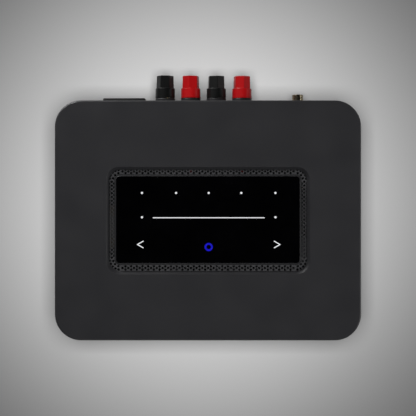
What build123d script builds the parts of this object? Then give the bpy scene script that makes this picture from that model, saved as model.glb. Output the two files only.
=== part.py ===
from build123d import *
import math
import os

# Compact network amplifier: a flat, round-cornered case with a touch panel in its
# lid, an air grille round the panel, and four speaker terminals on its back.
#
# Frame: +X to the right seen from the front, +Y to the back, +Z up. The origin is
# on the surface that the feet stand on, at the centre of the whole footprint,
# speaker terminals included. Every function works in the case's own plan frame,
# with Y = 0 at the middle of the case, and save() shifts the result.
# All sizes are in millimetres.

# ---------------------------------------------------------------- case
CASE_WIDTH = 220.0
CASE_DEPTH = 172.4
TOTAL_HEIGHT = 70.0
CORNER_RADIUS = 19.0
SHELL_WALL = 2.5
LID_THICKNESS = 3.0
LID_EDGE_RADIUS = 1.2
SHELL_EDGE_CHAMFER = 0.6
SHELL_BOTTOM = 9.0
FIT_GAP = 0.2

FOOT_HEIGHT = 3.0
FOOT_RADIUS = 7.0
FOOT_SEAT_DEPTH = 0.5
FOOT_X = CASE_WIDTH / 2 - 32.0
FOOT_Y = CASE_DEPTH / 2 - 28.2

TRAY_BOTTOM = FOOT_HEIGHT
TRAY_FLOOR = 2.5
TRAY_WALL = 2.5
TRAY_TOP = 12.0
TRAY_EDGE_RADIUS = 1.5
FLOOR_TOP = TRAY_BOTTOM + TRAY_FLOOR

BOSS_X = CASE_WIDTH / 2 - 17.0
BOSS_Y = CASE_DEPTH / 2 - 17.2
BOSS_RADIUS = 4.0

SCREW_RADIUS = 1.4
SCREW_HOLE_GAP = 0.1
SCREW_HEAD_RADIUS = 2.8
SCREW_HEAD_HEIGHT = 1.7
SCREW_LENGTH = 12.0
DRIVE_WIDTH = 0.7
DRIVE_DEPTH = 0.9

# ---------------------------------------------------------------- touch panel
GLASS_WIDTH = 132.0
GLASS_DEPTH = 62.4
GLASS_CORNER = 2.8
# From the glass edge to the recess's edge in the lid, beside it and in front of it.
MOAT_SIDE = 7.05
MOAT_FRONT = 7.35
RECESS_WIDTH = GLASS_WIDTH + 2 * MOAT_SIDE
RECESS_DEPTH = GLASS_DEPTH + 2 * MOAT_FRONT
RECESS_CORNER = 9.5
RECESS_SLOPE_RUN = 2.2
GLASS_THICKNESS = 1.5
GLASS_SHIFT_Y = 0.5
CARRIER_SLOPE_RUN = 1.35
CARRIER_STEM_INSET = 4.0
CARRIER_STEM_DROP = 4.0
TOUCH_BOARD_INSET = 3.0
BOARD_THICKNESS = 1.6

GRILLE_THICKNESS = 0.8
GRILLE_MARGIN = 3.0
GRILLE_HOLE_RADIUS = 0.9
# Rows of holes along the long sides: distance from the glass edge, then pitch.
LONG_ROWS = (2.4, 3.55, 4.7)
LONG_PITCH = 4.1
SHORT_ROWS = (1.6, 3.3, 5.0)
SHORT_PITCH = 2.73
CORNER_PITCH = 2.5
HOLE_SPACING_MIN = 2.15

# Light windows, measured from the middle of the lit marks.
LIGHTS_SHIFT_X = 0.5
WINDOW_DEPTH = 0.6
WINDOW_GAP = 0.03
DOT_RADIUS = 0.78
PRESET_END_X = GLASS_WIDTH / 2 - 18.1
PRESET_INNER_X = 23.4
PRESET_X = (-PRESET_END_X, -PRESET_INNER_X, 0.0, PRESET_INNER_X, PRESET_END_X)
PRESET_Y = GLASS_DEPTH / 2 - 12.0
VOLUME_DOT_Y = 1.75
VOLUME_BAR_GAP = 7.75
VOLUME_BAR_LENGTH = 2 * (PRESET_END_X - VOLUME_BAR_GAP)
VOLUME_BAR_WIDTH = 0.66
VOLUME_BAR_Y = 1.4
ARROW_LENGTH = 4.4
ARROW_TIP_X = GLASS_WIDTH / 2 - 14.5
ARROW_BACK_X = ARROW_TIP_X - ARROW_LENGTH
ARROW_HALF_HEIGHT = 2.35
ARROW_STROKE = 0.7
ARROW_Y = 13.4 - GLASS_DEPTH / 2
RING_OUTER = 2.95
RING_INNER = 1.6
RING_Y = 11.6 - GLASS_DEPTH / 2
LIGHT_WELL_RADIUS = 1.6

# ---------------------------------------------------------------- rear panel
PANEL_HALF_WIDTH = CASE_WIDTH / 2 - 18.0
PANEL_TOP = 51.0
PANEL_CORNER = 4.0
PANEL_RECESS = 0.5
PANEL_WALL_GAP = 0.1
PANEL_FLANGE_THICKNESS = 1.5
PANEL_FLANGE_MARGIN = 3.0
PANEL_FACE_Y = CASE_DEPTH / 2 - PANEL_RECESS
PANEL_STEP_Y = CASE_DEPTH / 2 - SHELL_WALL - PANEL_WALL_GAP
PANEL_BACK_Y = PANEL_STEP_Y - PANEL_FLANGE_THICKNESS
PANEL_SCREW_X = PANEL_HALF_WIDTH - 4.0
PANEL_SCREW_Z = 18.0
TRAY_POST_DEPTH = 6.0
TRAY_POST_WIDTH = 8.0
TRAY_POST_TOP = PANEL_SCREW_Z + 4.0
SOCKET_PROUD = 0.2
SOCKET_BACK = 1.8

# ---------------------------------------------------------------- speaker terminals
POST_PITCH = 19.0
POST_MIDDLE_X = -3.3
POST_Z = 34.0
POST_COUNT = 4
STUD_RADIUS = 3.0
COLLAR_RADIUS = 7.25
COLLAR_LENGTH = 4.5
COLLAR_SPIGOT_RADIUS = STUD_RADIUS + 1.0
STUD_REACH = 13.5
STUD_INNER_LENGTH = 7.0
STUD_THREAD_DEPTH = 0.35
BANANA_RADIUS = 2.0
BANANA_DEPTH = 18.0
WASHER_RADIUS = STUD_RADIUS + 2.5
WASHER_THICKNESS = 1.0
CAP_GAP = 0.1
CAP_SKIRT_RADIUS = 7.25
CAP_SHOULDER_RADIUS = 7.1
CAP_SKIRT_LENGTH = 7.2
CAP_HEX_LENGTH = 9.2
CAP_HEX_ROOT_RADIUS = 6.6
CAP_HEX_TIP_RADIUS = 6.3
CAP_HEX_CORNER = 0.9
CAP_END_WALL = 2.1
CAP_MOUTH_RADIUS = 2.7
THREAD_GAP = 0.08
WASHER_GAP = 0.3
NUT_FLATS = 2 * STUD_RADIUS + 4.0
NUT_THICKNESS = 3.0
LUG_THICKNESS = 0.8
LUG_RADIUS = STUD_RADIUS + 2.0
LUG_REACH = 11.0
LUG_WIDTH = 5.0
# How far each cap is unscrewed, and how its hexagon happens to stand.
LOOSENED = (0.3, 0.2, 0.1, 0.0)
HEX_TURN = (0.0, 18.0, -23.0, -18.0)

# ---------------------------------------------------------------- rear sockets
INLET_X = -61.8
INLET_Z = 32.0
INLET_FLANGE_WIDTH = 31.0
INLET_FLANGE_HEIGHT = 24.0
INLET_FLANGE_THICKNESS = 4.1
INLET_FLANGE_CORNER = 2.0
INLET_BODY_WIDTH = 27.0
INLET_BODY_HEIGHT = 19.6
INLET_BODY_DEPTH = 20.0
INLET_CAVITY_WIDTH = 24.4
INLET_CAVITY_HEIGHT = 16.4
INLET_CAVITY_DEPTH = 16.0
INLET_CAVITY_CHAMFER = 4.5
INLET_PIN_SPREAD = 7.0
INLET_EARTH_RISE = 4.0
INLET_PIN_WIDTH = 2.0
INLET_PIN_HEIGHT = 4.0
INLET_PIN_LENGTH = 13.0
INLET_TAB_LENGTH = 7.0

BOARD_BOTTOM = 13.6
BOARD_TOP = BOARD_BOTTOM + BOARD_THICKNESS

SUB_X = 67.2
SUB_Z = BOARD_TOP + 9.4
SUB_SHELL_RADIUS = 4.15
SUB_SHELL_WALL = 0.8
SUB_SHELL_REACH = 8.0
SUB_FLANGE_RADIUS = 5.2
SUB_FLANGE_THICKNESS = 0.8
SUB_CORE_SETBACK = 1.4
SUB_CONTACT_RADIUS = 2.2
SUB_PIN_RADIUS = 1.6
SUB_PIN_DEPTH = 12.0
SUB_BODY_SIZE = (10.0, 12.0, 13.6)

NETWORK_X = 46.5
NETWORK_SIZE = (16.0, 21.0, 13.5)
NETWORK_CAVITY = (12.0, 14.0, 8.0)
NETWORK_LATCH = (6.2, 14.0, 2.4)

HDMI_X = 15.7
HDMI_SIZE = (15.2, 12.0, 6.0)
HDMI_WALL = 0.5
HDMI_CHAMFER = 1.6
HDMI_TONGUE = (11.4, 8.0, 1.2)

USB_X = -3.3
USB_SIZE = (13.4, 14.0, 6.0)
USB_WALL = 0.45
USB_TONGUE = (11.0, 9.0, 1.9)

LINE_IN_X = -22.3
TRIGGER_X = 78.6
JACK_SIZE = (8.4, 12.0, 7.6)
JACK_NOZZLE_RADIUS = 3.2
JACK_BORE_RADIUS = 1.8
JACK_BORE_DEPTH = 14.0

# ---------------------------------------------------------------- boards
# Each board is left, right, front, back. They clear the case's screw bosses.
BOARDS_FRONT = 7.0 - BOSS_Y
AMP_BOARD_DEPTH = 64.0
MAIN_BOARD_FRONT = BOARDS_FRONT + AMP_BOARD_DEPTH + 6.0
MAIN_BOARD = (-38.0, 83.4, MAIN_BOARD_FRONT, PANEL_BACK_Y - 2.1)
AMP_BOARD = (-38.0, 95.0, BOARDS_FRONT, BOARDS_FRONT + AMP_BOARD_DEPTH)
POWER_BOARD = (-101.0, -42.0, BOARDS_FRONT, BOSS_Y - 9.0)
STANDOFF_RADIUS = 3.0
STANDOFF_INSET = 4.0
# The main board's rear screws stand in front of the sockets on its back edge.
SOCKET_ROW_DEPTH = 18.0
BOARD_SCREW_HEAD_RADIUS = 2.6
BOARD_SCREW_HEAD_HEIGHT = 1.8
CHIP_HEIGHT = 2.0

AMP_SINK_CENTRE = (40.0, BOARDS_FRONT + 27.0)
AMP_SINK_SIZE = (70.0, 42.0)
AMP_SINK_BASE = 3.8
AMP_SINK_FIN_HEIGHT = 25.0
AMP_SINK_FINS = 13
CPU_SINK_CENTRE = (16.0, MAIN_BOARD_FRONT + 21.0)
CPU_SINK_SIZE = (28.0, 28.0)
CPU_SINK_BASE = 2.5
CPU_SINK_FIN_HEIGHT = 9.0
CPU_SINK_FINS = 8
FIN_THICKNESS = 1.4

INDUCTOR_SIZE = 11.0
INDUCTOR_X = -25.0
INDUCTOR_FIRST_Y = BOARDS_FRONT + 8.5
INDUCTOR_PITCH = 12.0
CAPACITOR_RADIUS = 11.0
CAPACITOR_HEIGHT = 35.0
CAPACITOR_X = -89.5
CAPACITOR_Y = (BOARDS_FRONT + 22.0, BOARDS_FRONT + 50.0)
TRANSFORMER_CENTRE = (-60.0, BOARDS_FRONT + 57.0)
TRANSFORMER_SIZE = (35.0, 32.0, 30.0)
WIFI_CENTRE = (-18.0, MAIN_BOARD_FRONT + 20.0)
WIFI_SIZE = (22.0, 16.0, 2.6)
ANTENNA_X = 62.0
ANTENNA_SIZE = (42.0, 0.8, 9.0)
ANTENNA_Z = 34.0

LEAD_RADIUS = 1.3
LEAD_BEND = 9.0
LEAD_LANDING_Y = BOARDS_FRONT + 55.5
MAINS_LEAD_RADIUS = 1.1
MAINS_LEAD_BEND = 5.0
RIBBON_WIDTH = 14.0
RIBBON_THICKNESS = 0.3
RIBBON_X = 44.0
RIBBON_TOP_Y = 4.0
RIBBON_FOOT_Y = MAIN_BOARD_FRONT + 6.0
RIBBON_BEND = 5.0

# ---------------------------------------------------------------- derived places
CAP_LENGTH = CAP_SKIRT_LENGTH + CAP_HEX_LENGTH
COLLAR_FACE_Y = PANEL_FACE_Y + COLLAR_LENGTH
REAR_REACH_Y = COLLAR_FACE_Y + CAP_GAP + CAP_LENGTH + max(LOOSENED)
CASE_SHIFT_Y = -(REAR_REACH_Y - CASE_DEPTH / 2) / 2
LID_UNDERSIDE = TOTAL_HEIGHT - LID_THICKNESS
GLASS_BOTTOM = TOTAL_HEIGHT - GLASS_THICKNESS
CARRIER_BOTTOM = LID_UNDERSIDE
STEM_BOTTOM = CARRIER_BOTTOM - CARRIER_STEM_DROP
TRAY_OUTER_WIDTH = CASE_WIDTH - 2 * (SHELL_WALL + FIT_GAP)
TRAY_OUTER_DEPTH = CASE_DEPTH - 2 * (SHELL_WALL + FIT_GAP)
TRAY_CORNER = CORNER_RADIUS - SHELL_WALL - FIT_GAP
POST_XS = [
    POST_MIDDLE_X + POST_PITCH * (i - (POST_COUNT - 1) / 2) for i in range(POST_COUNT)
]


# ---------------------------------------------------------------- shape helpers
def block(size, x, y, bottom):
    """A box of size (width, depth, height), centred on x, y, standing on bottom."""
    width, depth, height = size
    return Pos(x, y, bottom + height / 2) * Box(width, depth, height)


def slab(width, depth, corner, bottom, top, x=0.0, y=0.0):
    """A plate with rounded corners in plan, from bottom to top."""
    outline = RectangleRounded(width, depth, corner)
    return Pos(x, y, bottom) * extrude(outline, top - bottom)


def rod(radius, x, z, start, end):
    """A cylinder along Y, from start to end."""
    return Pos(x, (start + end) / 2, z) * Rot(90, 0, 0) * Cylinder(radius, end - start)


def cone(start_radius, end_radius, x, z, start, end):
    """A cone along Y, from start_radius at start to end_radius at end."""
    body = Cone(start_radius, end_radius, end - start)
    return Pos(x, (start + end) / 2, z) * Rot(-90, 0, 0) * body


def upright(radius, x, y, bottom, top):
    """A vertical cylinder."""
    return Pos(x, y, (bottom + top) / 2) * Cylinder(radius, top - bottom)


def along_y(outline, x, z, start, end):
    """An outline drawn in X and Z, extruded along Y from start to end."""
    plane = Plane(origin=(x, end, z), x_dir=(1, 0, 0), z_dir=(0, -1, 0))
    return extrude(plane * outline, end - start)


def tapered(width, depth, corner, run, bottom, top, y=0.0):
    """A slab whose sides lean: at the top it is run wider on every side."""
    height = top - bottom
    outline = RectangleRounded(width, depth, corner)
    lean = math.degrees(math.atan2(run, height))
    return Pos(0, y, top) * extrude(outline, height, dir=(0, 0, -1), taper=lean)


def group(parts):
    """Several separate solids in one node."""
    return Compound([solid for part in parts for solid in part.solids()])


def save(name, part):
    """Writes one node's STEP file, shifted from the case's frame to the origin."""
    solids = [Pos(0, CASE_SHIFT_Y, 0) * solid for solid in part.solids()]
    shape = solids[0] if len(solids) == 1 else Compound(solids)
    export_step(shape, f"parts/{name}.step")


def corners(half_x, half_y):
    """The four corner points of a rectangle about the case's middle."""
    return [(sx * half_x, sy * half_y) for sx in (-1, 1) for sy in (-1, 1)]


# ---------------------------------------------------------------- casing
def panel_notch(gap):
    """The space that the rear panel's front step fills in the shell's back wall."""
    half = PANEL_HALF_WIDTH + gap
    height = PANEL_TOP + gap - SHELL_BOTTOM
    outline = RectangleRounded(2 * half, 2 * height, PANEL_CORNER)
    inner_face = CASE_DEPTH / 2 - SHELL_WALL
    return along_y(outline, 0, SHELL_BOTTOM, inner_face - 1, CASE_DEPTH / 2 + 1)


def top_shell():
    """The lid and walls in one moulding, with the panel's recess and screw bosses."""
    body = slab(CASE_WIDTH, CASE_DEPTH, CORNER_RADIUS, SHELL_BOTTOM, TOTAL_HEIGHT)
    body = fillet(body.faces().sort_by(Axis.Z)[-1].edges(), LID_EDGE_RADIUS)
    body = chamfer(body.faces().sort_by(Axis.Z)[0].edges(), SHELL_EDGE_CHAMFER)
    body -= slab(
        CASE_WIDTH - 2 * SHELL_WALL,
        CASE_DEPTH - 2 * SHELL_WALL,
        CORNER_RADIUS - SHELL_WALL,
        SHELL_BOTTOM - 1,
        LID_UNDERSIDE,
    )
    body -= tapered(
        RECESS_WIDTH,
        RECESS_DEPTH,
        RECESS_CORNER,
        RECESS_SLOPE_RUN,
        LID_UNDERSIDE,
        TOTAL_HEIGHT,
    )
    body -= panel_notch(FIT_GAP)
    for x, y in corners(BOSS_X, BOSS_Y):
        body += upright(BOSS_RADIUS, x, y, FLOOR_TOP, LID_UNDERSIDE)
    pilot_top = TRAY_BOTTOM + SCREW_LENGTH + 1
    for x, y in corners(BOSS_X, BOSS_Y):
        body -= upright(SCREW_RADIUS + SCREW_HOLE_GAP, x, y, FLOOR_TOP - 1, pilot_top)
    return body


def board_corners(board):
    """Where one board's four screws stand."""
    left, right, front, back = board
    if board == MAIN_BOARD:
        back -= SOCKET_ROW_DEPTH
    return [
        (x, y)
        for x in (left + STANDOFF_INSET, right - STANDOFF_INSET)
        for y in (front + STANDOFF_INSET, back - STANDOFF_INSET)
    ]


def standoff_places():
    """The middle of every board screw."""
    return [p for board in (MAIN_BOARD, AMP_BOARD, POWER_BOARD) for p in board_corners(board)]


def vent_slots():
    """Air slots in the floor, in two rows between the standoffs."""
    slot_width, slot_length, pitch, count = 3.0, 34.0, 8.0, 14
    slots = []
    for y in (-31.0, 34.0):
        for i in range(count):
            x = pitch * (i - (count - 1) / 2) + 26.0
            outline = RectangleRounded(slot_width, slot_length, slot_width / 2 - 0.01)
            slots.append(Pos(x, y, TRAY_BOTTOM - 1) * extrude(outline, TRAY_FLOOR + 2))
    return slots


def base_tray():
    """The floor with its rim, board standoffs, panel posts, foot seats and air slots."""
    body = slab(TRAY_OUTER_WIDTH, TRAY_OUTER_DEPTH, TRAY_CORNER, TRAY_BOTTOM, TRAY_TOP)
    body = fillet(body.faces().sort_by(Axis.Z)[0].edges(), TRAY_EDGE_RADIUS)
    body -= slab(
        TRAY_OUTER_WIDTH - 2 * TRAY_WALL,
        TRAY_OUTER_DEPTH - 2 * TRAY_WALL,
        TRAY_CORNER - TRAY_WALL,
        FLOOR_TOP,
        TRAY_TOP + 1,
    )
    for slot in vent_slots():
        body -= slot
    for x, y in standoff_places():
        body += upright(STANDOFF_RADIUS, x, y, FLOOR_TOP, BOARD_BOTTOM)
    for x, y in standoff_places():
        body -= upright(SCREW_RADIUS + SCREW_HOLE_GAP, x, y, FLOOR_TOP, BOARD_BOTTOM + 1)
    post_y = PANEL_BACK_Y - TRAY_POST_DEPTH / 2
    post_size = (TRAY_POST_WIDTH, TRAY_POST_DEPTH, TRAY_POST_TOP - FLOOR_TOP)
    for x in (-PANEL_SCREW_X, PANEL_SCREW_X):
        body += block(post_size, x, post_y, FLOOR_TOP)
        hole_start = PANEL_BACK_Y - TRAY_POST_DEPTH - 1
        radius = SCREW_RADIUS + SCREW_HOLE_GAP
        body -= rod(radius, x, PANEL_SCREW_Z, hole_start, PANEL_BACK_Y + 1)
    for x, y in corners(FOOT_X, FOOT_Y):
        seat_top = TRAY_BOTTOM + FOOT_SEAT_DEPTH
        body -= upright(FOOT_RADIUS + FIT_GAP, x, y, TRAY_BOTTOM - 1, seat_top)
    for x, y in corners(BOSS_X, BOSS_Y):
        body -= upright(SCREW_RADIUS + SCREW_HOLE_GAP, x, y, TRAY_BOTTOM - 1, FLOOR_TOP + 1)
        body -= screw_head(x, y, SCREW_HOLE_GAP)
    return body


def screw_head(x, y, gap=0.0):
    """A countersunk head flush with the tray's underside, or its seat with a gap."""
    wide, narrow = SCREW_HEAD_RADIUS + gap, SCREW_RADIUS + gap
    head = Cone(wide, narrow, SCREW_HEAD_HEIGHT)
    return Pos(x, y, TRAY_BOTTOM + SCREW_HEAD_HEIGHT / 2) * head


def cross_drive(x, y, face, down):
    """A cross-shaped driver recess in a vertical screw's head."""
    reach = 3.0
    bottom = face - DRIVE_DEPTH if down else face
    arms = [(reach, DRIVE_WIDTH, DRIVE_DEPTH), (DRIVE_WIDTH, reach, DRIVE_DEPTH)]
    return block(arms[0], x, y, bottom) + block(arms[1], x, y, bottom)


def case_screws():
    """The four screws that hold the shell on the tray."""
    screws = []
    for x, y in corners(BOSS_X, BOSS_Y):
        screw = screw_head(x, y)
        shank_start = TRAY_BOTTOM + SCREW_HEAD_HEIGHT
        screw += upright(SCREW_RADIUS, x, y, shank_start, TRAY_BOTTOM + SCREW_LENGTH)
        screws.append(screw - cross_drive(x, y, TRAY_BOTTOM, False))
    return group(screws)


def board_screws():
    """The screws that hold the three boards on their standoffs."""
    screws = []
    head_top = BOARD_TOP + BOARD_SCREW_HEAD_HEIGHT
    for x, y in standoff_places():
        screw = upright(BOARD_SCREW_HEAD_RADIUS, x, y, BOARD_TOP, head_top)
        screw += upright(SCREW_RADIUS, x, y, FLOOR_TOP + 1, BOARD_TOP)
        screws.append(screw - cross_drive(x, y, head_top, True))
    return group(screws)


def foot(x, y):
    """One rubber foot, with a rounded lower edge and a shallow dish underneath."""
    body = upright(FOOT_RADIUS, x, y, 0, FOOT_HEIGHT + FOOT_SEAT_DEPTH)
    body = fillet(body.edges().sort_by(Axis.Z)[0], 0.8)
    return body - upright(FOOT_RADIUS - 3.0, x, y, -1, 0.5)


# ---------------------------------------------------------------- touch panel
def side_holes(rows, pitch, length):
    """Staggered hole centres beside one straight side: (along, distance) pairs."""
    holes = []
    for k, distance in enumerate(rows):
        count = int(length / pitch) + k % 2
        holes += [(pitch * (i - (count - 1) / 2), distance) for i in range(count)]
    return holes


def grille_holes():
    """Every hole centre of the grille, kept apart where the sides meet."""
    half_x, half_y = GLASS_WIDTH / 2, GLASS_DEPTH / 2
    straight_x = GLASS_WIDTH - 2 * GLASS_CORNER
    straight_y = GLASS_DEPTH - 2 * GLASS_CORNER
    points = []
    for along, distance in side_holes(LONG_ROWS, LONG_PITCH, straight_x):
        points += [(along, half_y + distance), (along, -half_y - distance)]
    for along, distance in side_holes(SHORT_ROWS, SHORT_PITCH, straight_y):
        points += [(half_x + distance, along), (-half_x - distance, along)]
    for distance in LONG_ROWS:
        radius = GLASS_CORNER + distance
        count = round(radius * math.pi / 2 / CORNER_PITCH)
        for i in range(count):
            angle = math.pi / 2 * (i + 0.5) / count
            x = half_x - GLASS_CORNER + radius * math.cos(angle)
            y = half_y - GLASS_CORNER + radius * math.sin(angle)
            points += [(x, y), (-x, y), (x, -y), (-x, -y)]
    kept = []
    for p in points:
        if all(math.dist(p, q) > HOLE_SPACING_MIN for q in kept):
            kept.append(p)
    return kept


def vent_grille():
    """The flat perforated ring under the lid, round the glass carrier's stem."""
    bottom = LID_UNDERSIDE - GRILLE_THICKNESS
    lid_opening = 2 * RECESS_SLOPE_RUN
    outer = RectangleRounded(
        RECESS_WIDTH - lid_opening + 2 * GRILLE_MARGIN,
        RECESS_DEPTH - lid_opening + 2 * GRILLE_MARGIN,
        RECESS_CORNER,
    ).wire()
    inset = 2 * (CARRIER_STEM_INSET - FIT_GAP)
    inner = RectangleRounded(GLASS_WIDTH - inset, GLASS_DEPTH - inset, GLASS_CORNER)
    inner = (Pos(0, GLASS_SHIFT_Y) * inner).wire()
    centres = [(x, y + GLASS_SHIFT_Y) for x, y in grille_holes()]
    holes = [(Pos(x, y) * Circle(GRILLE_HOLE_RADIUS)).wire() for x, y in centres]
    plate = Face(outer, [inner] + holes)
    return Pos(0, 0, bottom) * extrude(plate, GRILLE_THICKNESS, dir=(0, 0, 1))


def chevron(side, grow=0.0):
    """One skip arrow's outline: side is 1 for the right one, -1 for the left."""
    half = ARROW_STROKE / 2
    tip = (side * (ARROW_TIP_X - half), ARROW_Y)
    ends = [(side * ARROW_BACK_X, ARROW_Y + s * ARROW_HALF_HEIGHT) for s in (1, -1)]
    arms = [
        make_hull([(Pos(*p) * Circle(half + grow)).edge() for p in (tip, end)])
        for end in ends
    ]
    return arms[0] + arms[1]


def dots(places, grow=0.0):
    """Round light windows at several places."""
    return [Pos(x, y) * Circle(DOT_RADIUS + grow) for x, y in places]


def preset_outlines(grow=0.0):
    """The row of five preset dots."""
    return dots([(x, PRESET_Y) for x in PRESET_X], grow)


def volume_outlines(grow=0.0):
    """The volume line and the dot at each end of it."""
    bar = RectangleRounded(
        VOLUME_BAR_LENGTH + 2 * grow,
        VOLUME_BAR_WIDTH + 2 * grow,
        VOLUME_BAR_WIDTH / 2 + grow - 0.01,
    )
    ends = dots([(PRESET_X[0], VOLUME_DOT_Y), (PRESET_X[-1], VOLUME_DOT_Y)], grow)
    return [Pos(0, VOLUME_BAR_Y) * bar] + ends


def skip_outlines(grow=0.0):
    """The two skip arrows."""
    return [chevron(-1, grow), chevron(1, grow)]


def ring_outlines(grow=0.0):
    """The status ring."""
    ring = Circle(RING_OUTER + grow) - Circle(RING_INNER - grow)
    return [Pos(0, RING_Y) * ring]


def windows(outlines, grow, bottom, top):
    """Solids for a set of light windows, or for the pockets that hold them."""
    outline_sets = outlines(grow)
    place = Pos(LIGHTS_SHIFT_X, GLASS_SHIFT_Y, bottom)
    return [place * extrude(outline, top - bottom) for outline in outline_sets]


WINDOW_SETS = {
    "preset_windows": preset_outlines,
    "volume_windows": volume_outlines,
    "skip_windows": skip_outlines,
    "status_ring_window": ring_outlines,
}


def touch_glass():
    """The glass plate, with a shallow pocket for every light window."""
    body = slab(
        GLASS_WIDTH, GLASS_DEPTH, GLASS_CORNER, GLASS_BOTTOM, TOTAL_HEIGHT, y=GLASS_SHIFT_Y
    )
    body = chamfer(body.faces().sort_by(Axis.Z)[-1].edges(), 0.25)
    pocket_floor = TOTAL_HEIGHT - WINDOW_DEPTH
    for outlines in WINDOW_SETS.values():
        for pocket in windows(outlines, WINDOW_GAP, pocket_floor, TOTAL_HEIGHT + 1):
            body -= pocket
    return body


def light_wells():
    """Where an LED shines up through the carrier, one case place for each light."""
    bar_lights = [(x, VOLUME_BAR_Y) for x in (-32.0, -16.0, 0.0, 16.0, 32.0)]
    ends = [(PRESET_X[0], VOLUME_DOT_Y), (PRESET_X[-1], VOLUME_DOT_Y)]
    middle_of_arrow = (ARROW_TIP_X + ARROW_BACK_X) / 2
    arrows = [(-middle_of_arrow, ARROW_Y), (middle_of_arrow, ARROW_Y)]
    presets = [(x, PRESET_Y) for x in PRESET_X]
    lights = presets + bar_lights + ends + arrows + [(0.0, RING_Y)]
    return [(x + LIGHTS_SHIFT_X, y + GLASS_SHIFT_Y) for x, y in lights]


def glass_carrier():
    """The plinth under the glass: leaning sides on the grille, and a stem through it."""
    body = slab(
        GLASS_WIDTH + 2 * CARRIER_SLOPE_RUN,
        GLASS_DEPTH + 2 * CARRIER_SLOPE_RUN,
        GLASS_CORNER + CARRIER_SLOPE_RUN,
        CARRIER_BOTTOM,
        GLASS_BOTTOM,
        y=GLASS_SHIFT_Y,
    )
    top_edges = body.faces().sort_by(Axis.Z)[-1].edges()
    height = GLASS_BOTTOM - CARRIER_BOTTOM
    top_face = body.faces().sort_by(Axis.Z)[-1]
    body = chamfer(top_edges, height - 0.3, CARRIER_SLOPE_RUN - 0.01, reference=top_face)
    stem = slab(
        GLASS_WIDTH - 2 * CARRIER_STEM_INSET,
        GLASS_DEPTH - 2 * CARRIER_STEM_INSET,
        GLASS_CORNER,
        STEM_BOTTOM,
        CARRIER_BOTTOM,
        y=GLASS_SHIFT_Y,
    )
    body += stem
    for x, y in light_wells():
        body -= upright(LIGHT_WELL_RADIUS, x, y, STEM_BOTTOM - 1, GLASS_BOTTOM + 1)
    return body


def touch_board():
    """The touch sensor board under the carrier, with its LEDs and ribbon connector."""
    inset = 2 * (CARRIER_STEM_INSET + TOUCH_BOARD_INSET)
    top = STEM_BOTTOM
    bottom = top - BOARD_THICKNESS
    width, depth = GLASS_WIDTH - inset, GLASS_DEPTH - inset
    board = slab(width, depth, 2.0, bottom, top, y=GLASS_SHIFT_Y)
    leds = [block((1.6, 0.8, 0.7), x, y, top) for x, y in light_wells()]
    socket = block((RIBBON_WIDTH + 3, 5.0, 2.0), RIBBON_X, RIBBON_TOP_Y, bottom - 2.0)
    return group([board, socket] + leds)


def touch_ribbon():
    """The flat flexible cable from the touch board down to the main board."""
    top = STEM_BOTTOM - BOARD_THICKNESS - 2.0
    middle = (top + BOARD_TOP) / 2
    path = FilletPolyline(
        (RIBBON_X, RIBBON_TOP_Y, top),
        (RIBBON_X, RIBBON_TOP_Y, middle + 8),
        (RIBBON_X, RIBBON_FOOT_Y, middle - 8),
        (RIBBON_X, RIBBON_FOOT_Y, BOARD_TOP),
        radius=RIBBON_BEND,
    )
    start = Plane(origin=(RIBBON_X, RIBBON_TOP_Y, top), x_dir=(1, 0, 0), z_dir=(0, 0, -1))
    return sweep(start * Rectangle(RIBBON_WIDTH, RIBBON_THICKNESS), path)


# ---------------------------------------------------------------- rear panel
def rear_panel():
    """The socket plate: its step fills the shell's notch, its flange sits behind."""
    height = PANEL_TOP - SHELL_BOTTOM - FIT_GAP
    outline = RectangleRounded(2 * PANEL_HALF_WIDTH, 2 * height, PANEL_CORNER)
    floor_z = SHELL_BOTTOM + FIT_GAP
    plate = along_y(outline, 0, floor_z, PANEL_STEP_Y, PANEL_FACE_Y)
    plate -= block((300, 20, 100), 0, PANEL_FACE_Y, floor_z - 100)
    flange_bottom = TRAY_TOP + FIT_GAP
    flange_height = PANEL_TOP + PANEL_FLANGE_MARGIN - flange_bottom
    flange_width = 2 * (PANEL_HALF_WIDTH + PANEL_FLANGE_MARGIN)
    flange_size = (flange_width, PANEL_FLANGE_THICKNESS, flange_height)
    flange_y = PANEL_BACK_Y + PANEL_FLANGE_THICKNESS / 2
    wall = 2 * (CASE_DEPTH / 2 - PANEL_STEP_Y)
    corner = CORNER_RADIUS - wall / 2
    inside = slab(CASE_WIDTH - wall, CASE_DEPTH - wall, corner, 0, TOTAL_HEIGHT)
    plate += block(flange_size, 0, flange_y, flange_bottom) & inside
    start, end = PANEL_BACK_Y - 1, PANEL_FACE_Y + 1
    for x in POST_XS:
        plate -= rod(COLLAR_SPIGOT_RADIUS + FIT_GAP / 4, x, POST_Z, start, end)
    for x in (-PANEL_SCREW_X, PANEL_SCREW_X):
        plate -= rod(SCREW_RADIUS + SCREW_HOLE_GAP, x, PANEL_SCREW_Z, start, end)
    for x in (LINE_IN_X, TRIGGER_X):
        plate -= rod(JACK_NOZZLE_RADIUS + SCREW_HOLE_GAP, x, jack_axis_z(), start, end)
    plate -= rod(SUB_SHELL_RADIUS + SCREW_HOLE_GAP, SUB_X, SUB_Z, start, end)
    inlet_hole = Rectangle(INLET_BODY_WIDTH + FIT_GAP, INLET_BODY_HEIGHT + FIT_GAP)
    plate -= along_y(inlet_hole, INLET_X, INLET_Z, start, end)
    for x, size in ((NETWORK_X, NETWORK_SIZE), (USB_X, USB_SIZE), (HDMI_X, HDMI_SIZE)):
        window = Rectangle(size[0] + FIT_GAP, size[2] + FIT_GAP)
        plate -= along_y(window, x, BOARD_TOP + size[2] / 2, start, end)
    return plate


def jack_axis_z():
    """The height of a small jack's axis."""
    return BOARD_TOP + JACK_SIZE[2] / 2


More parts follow.
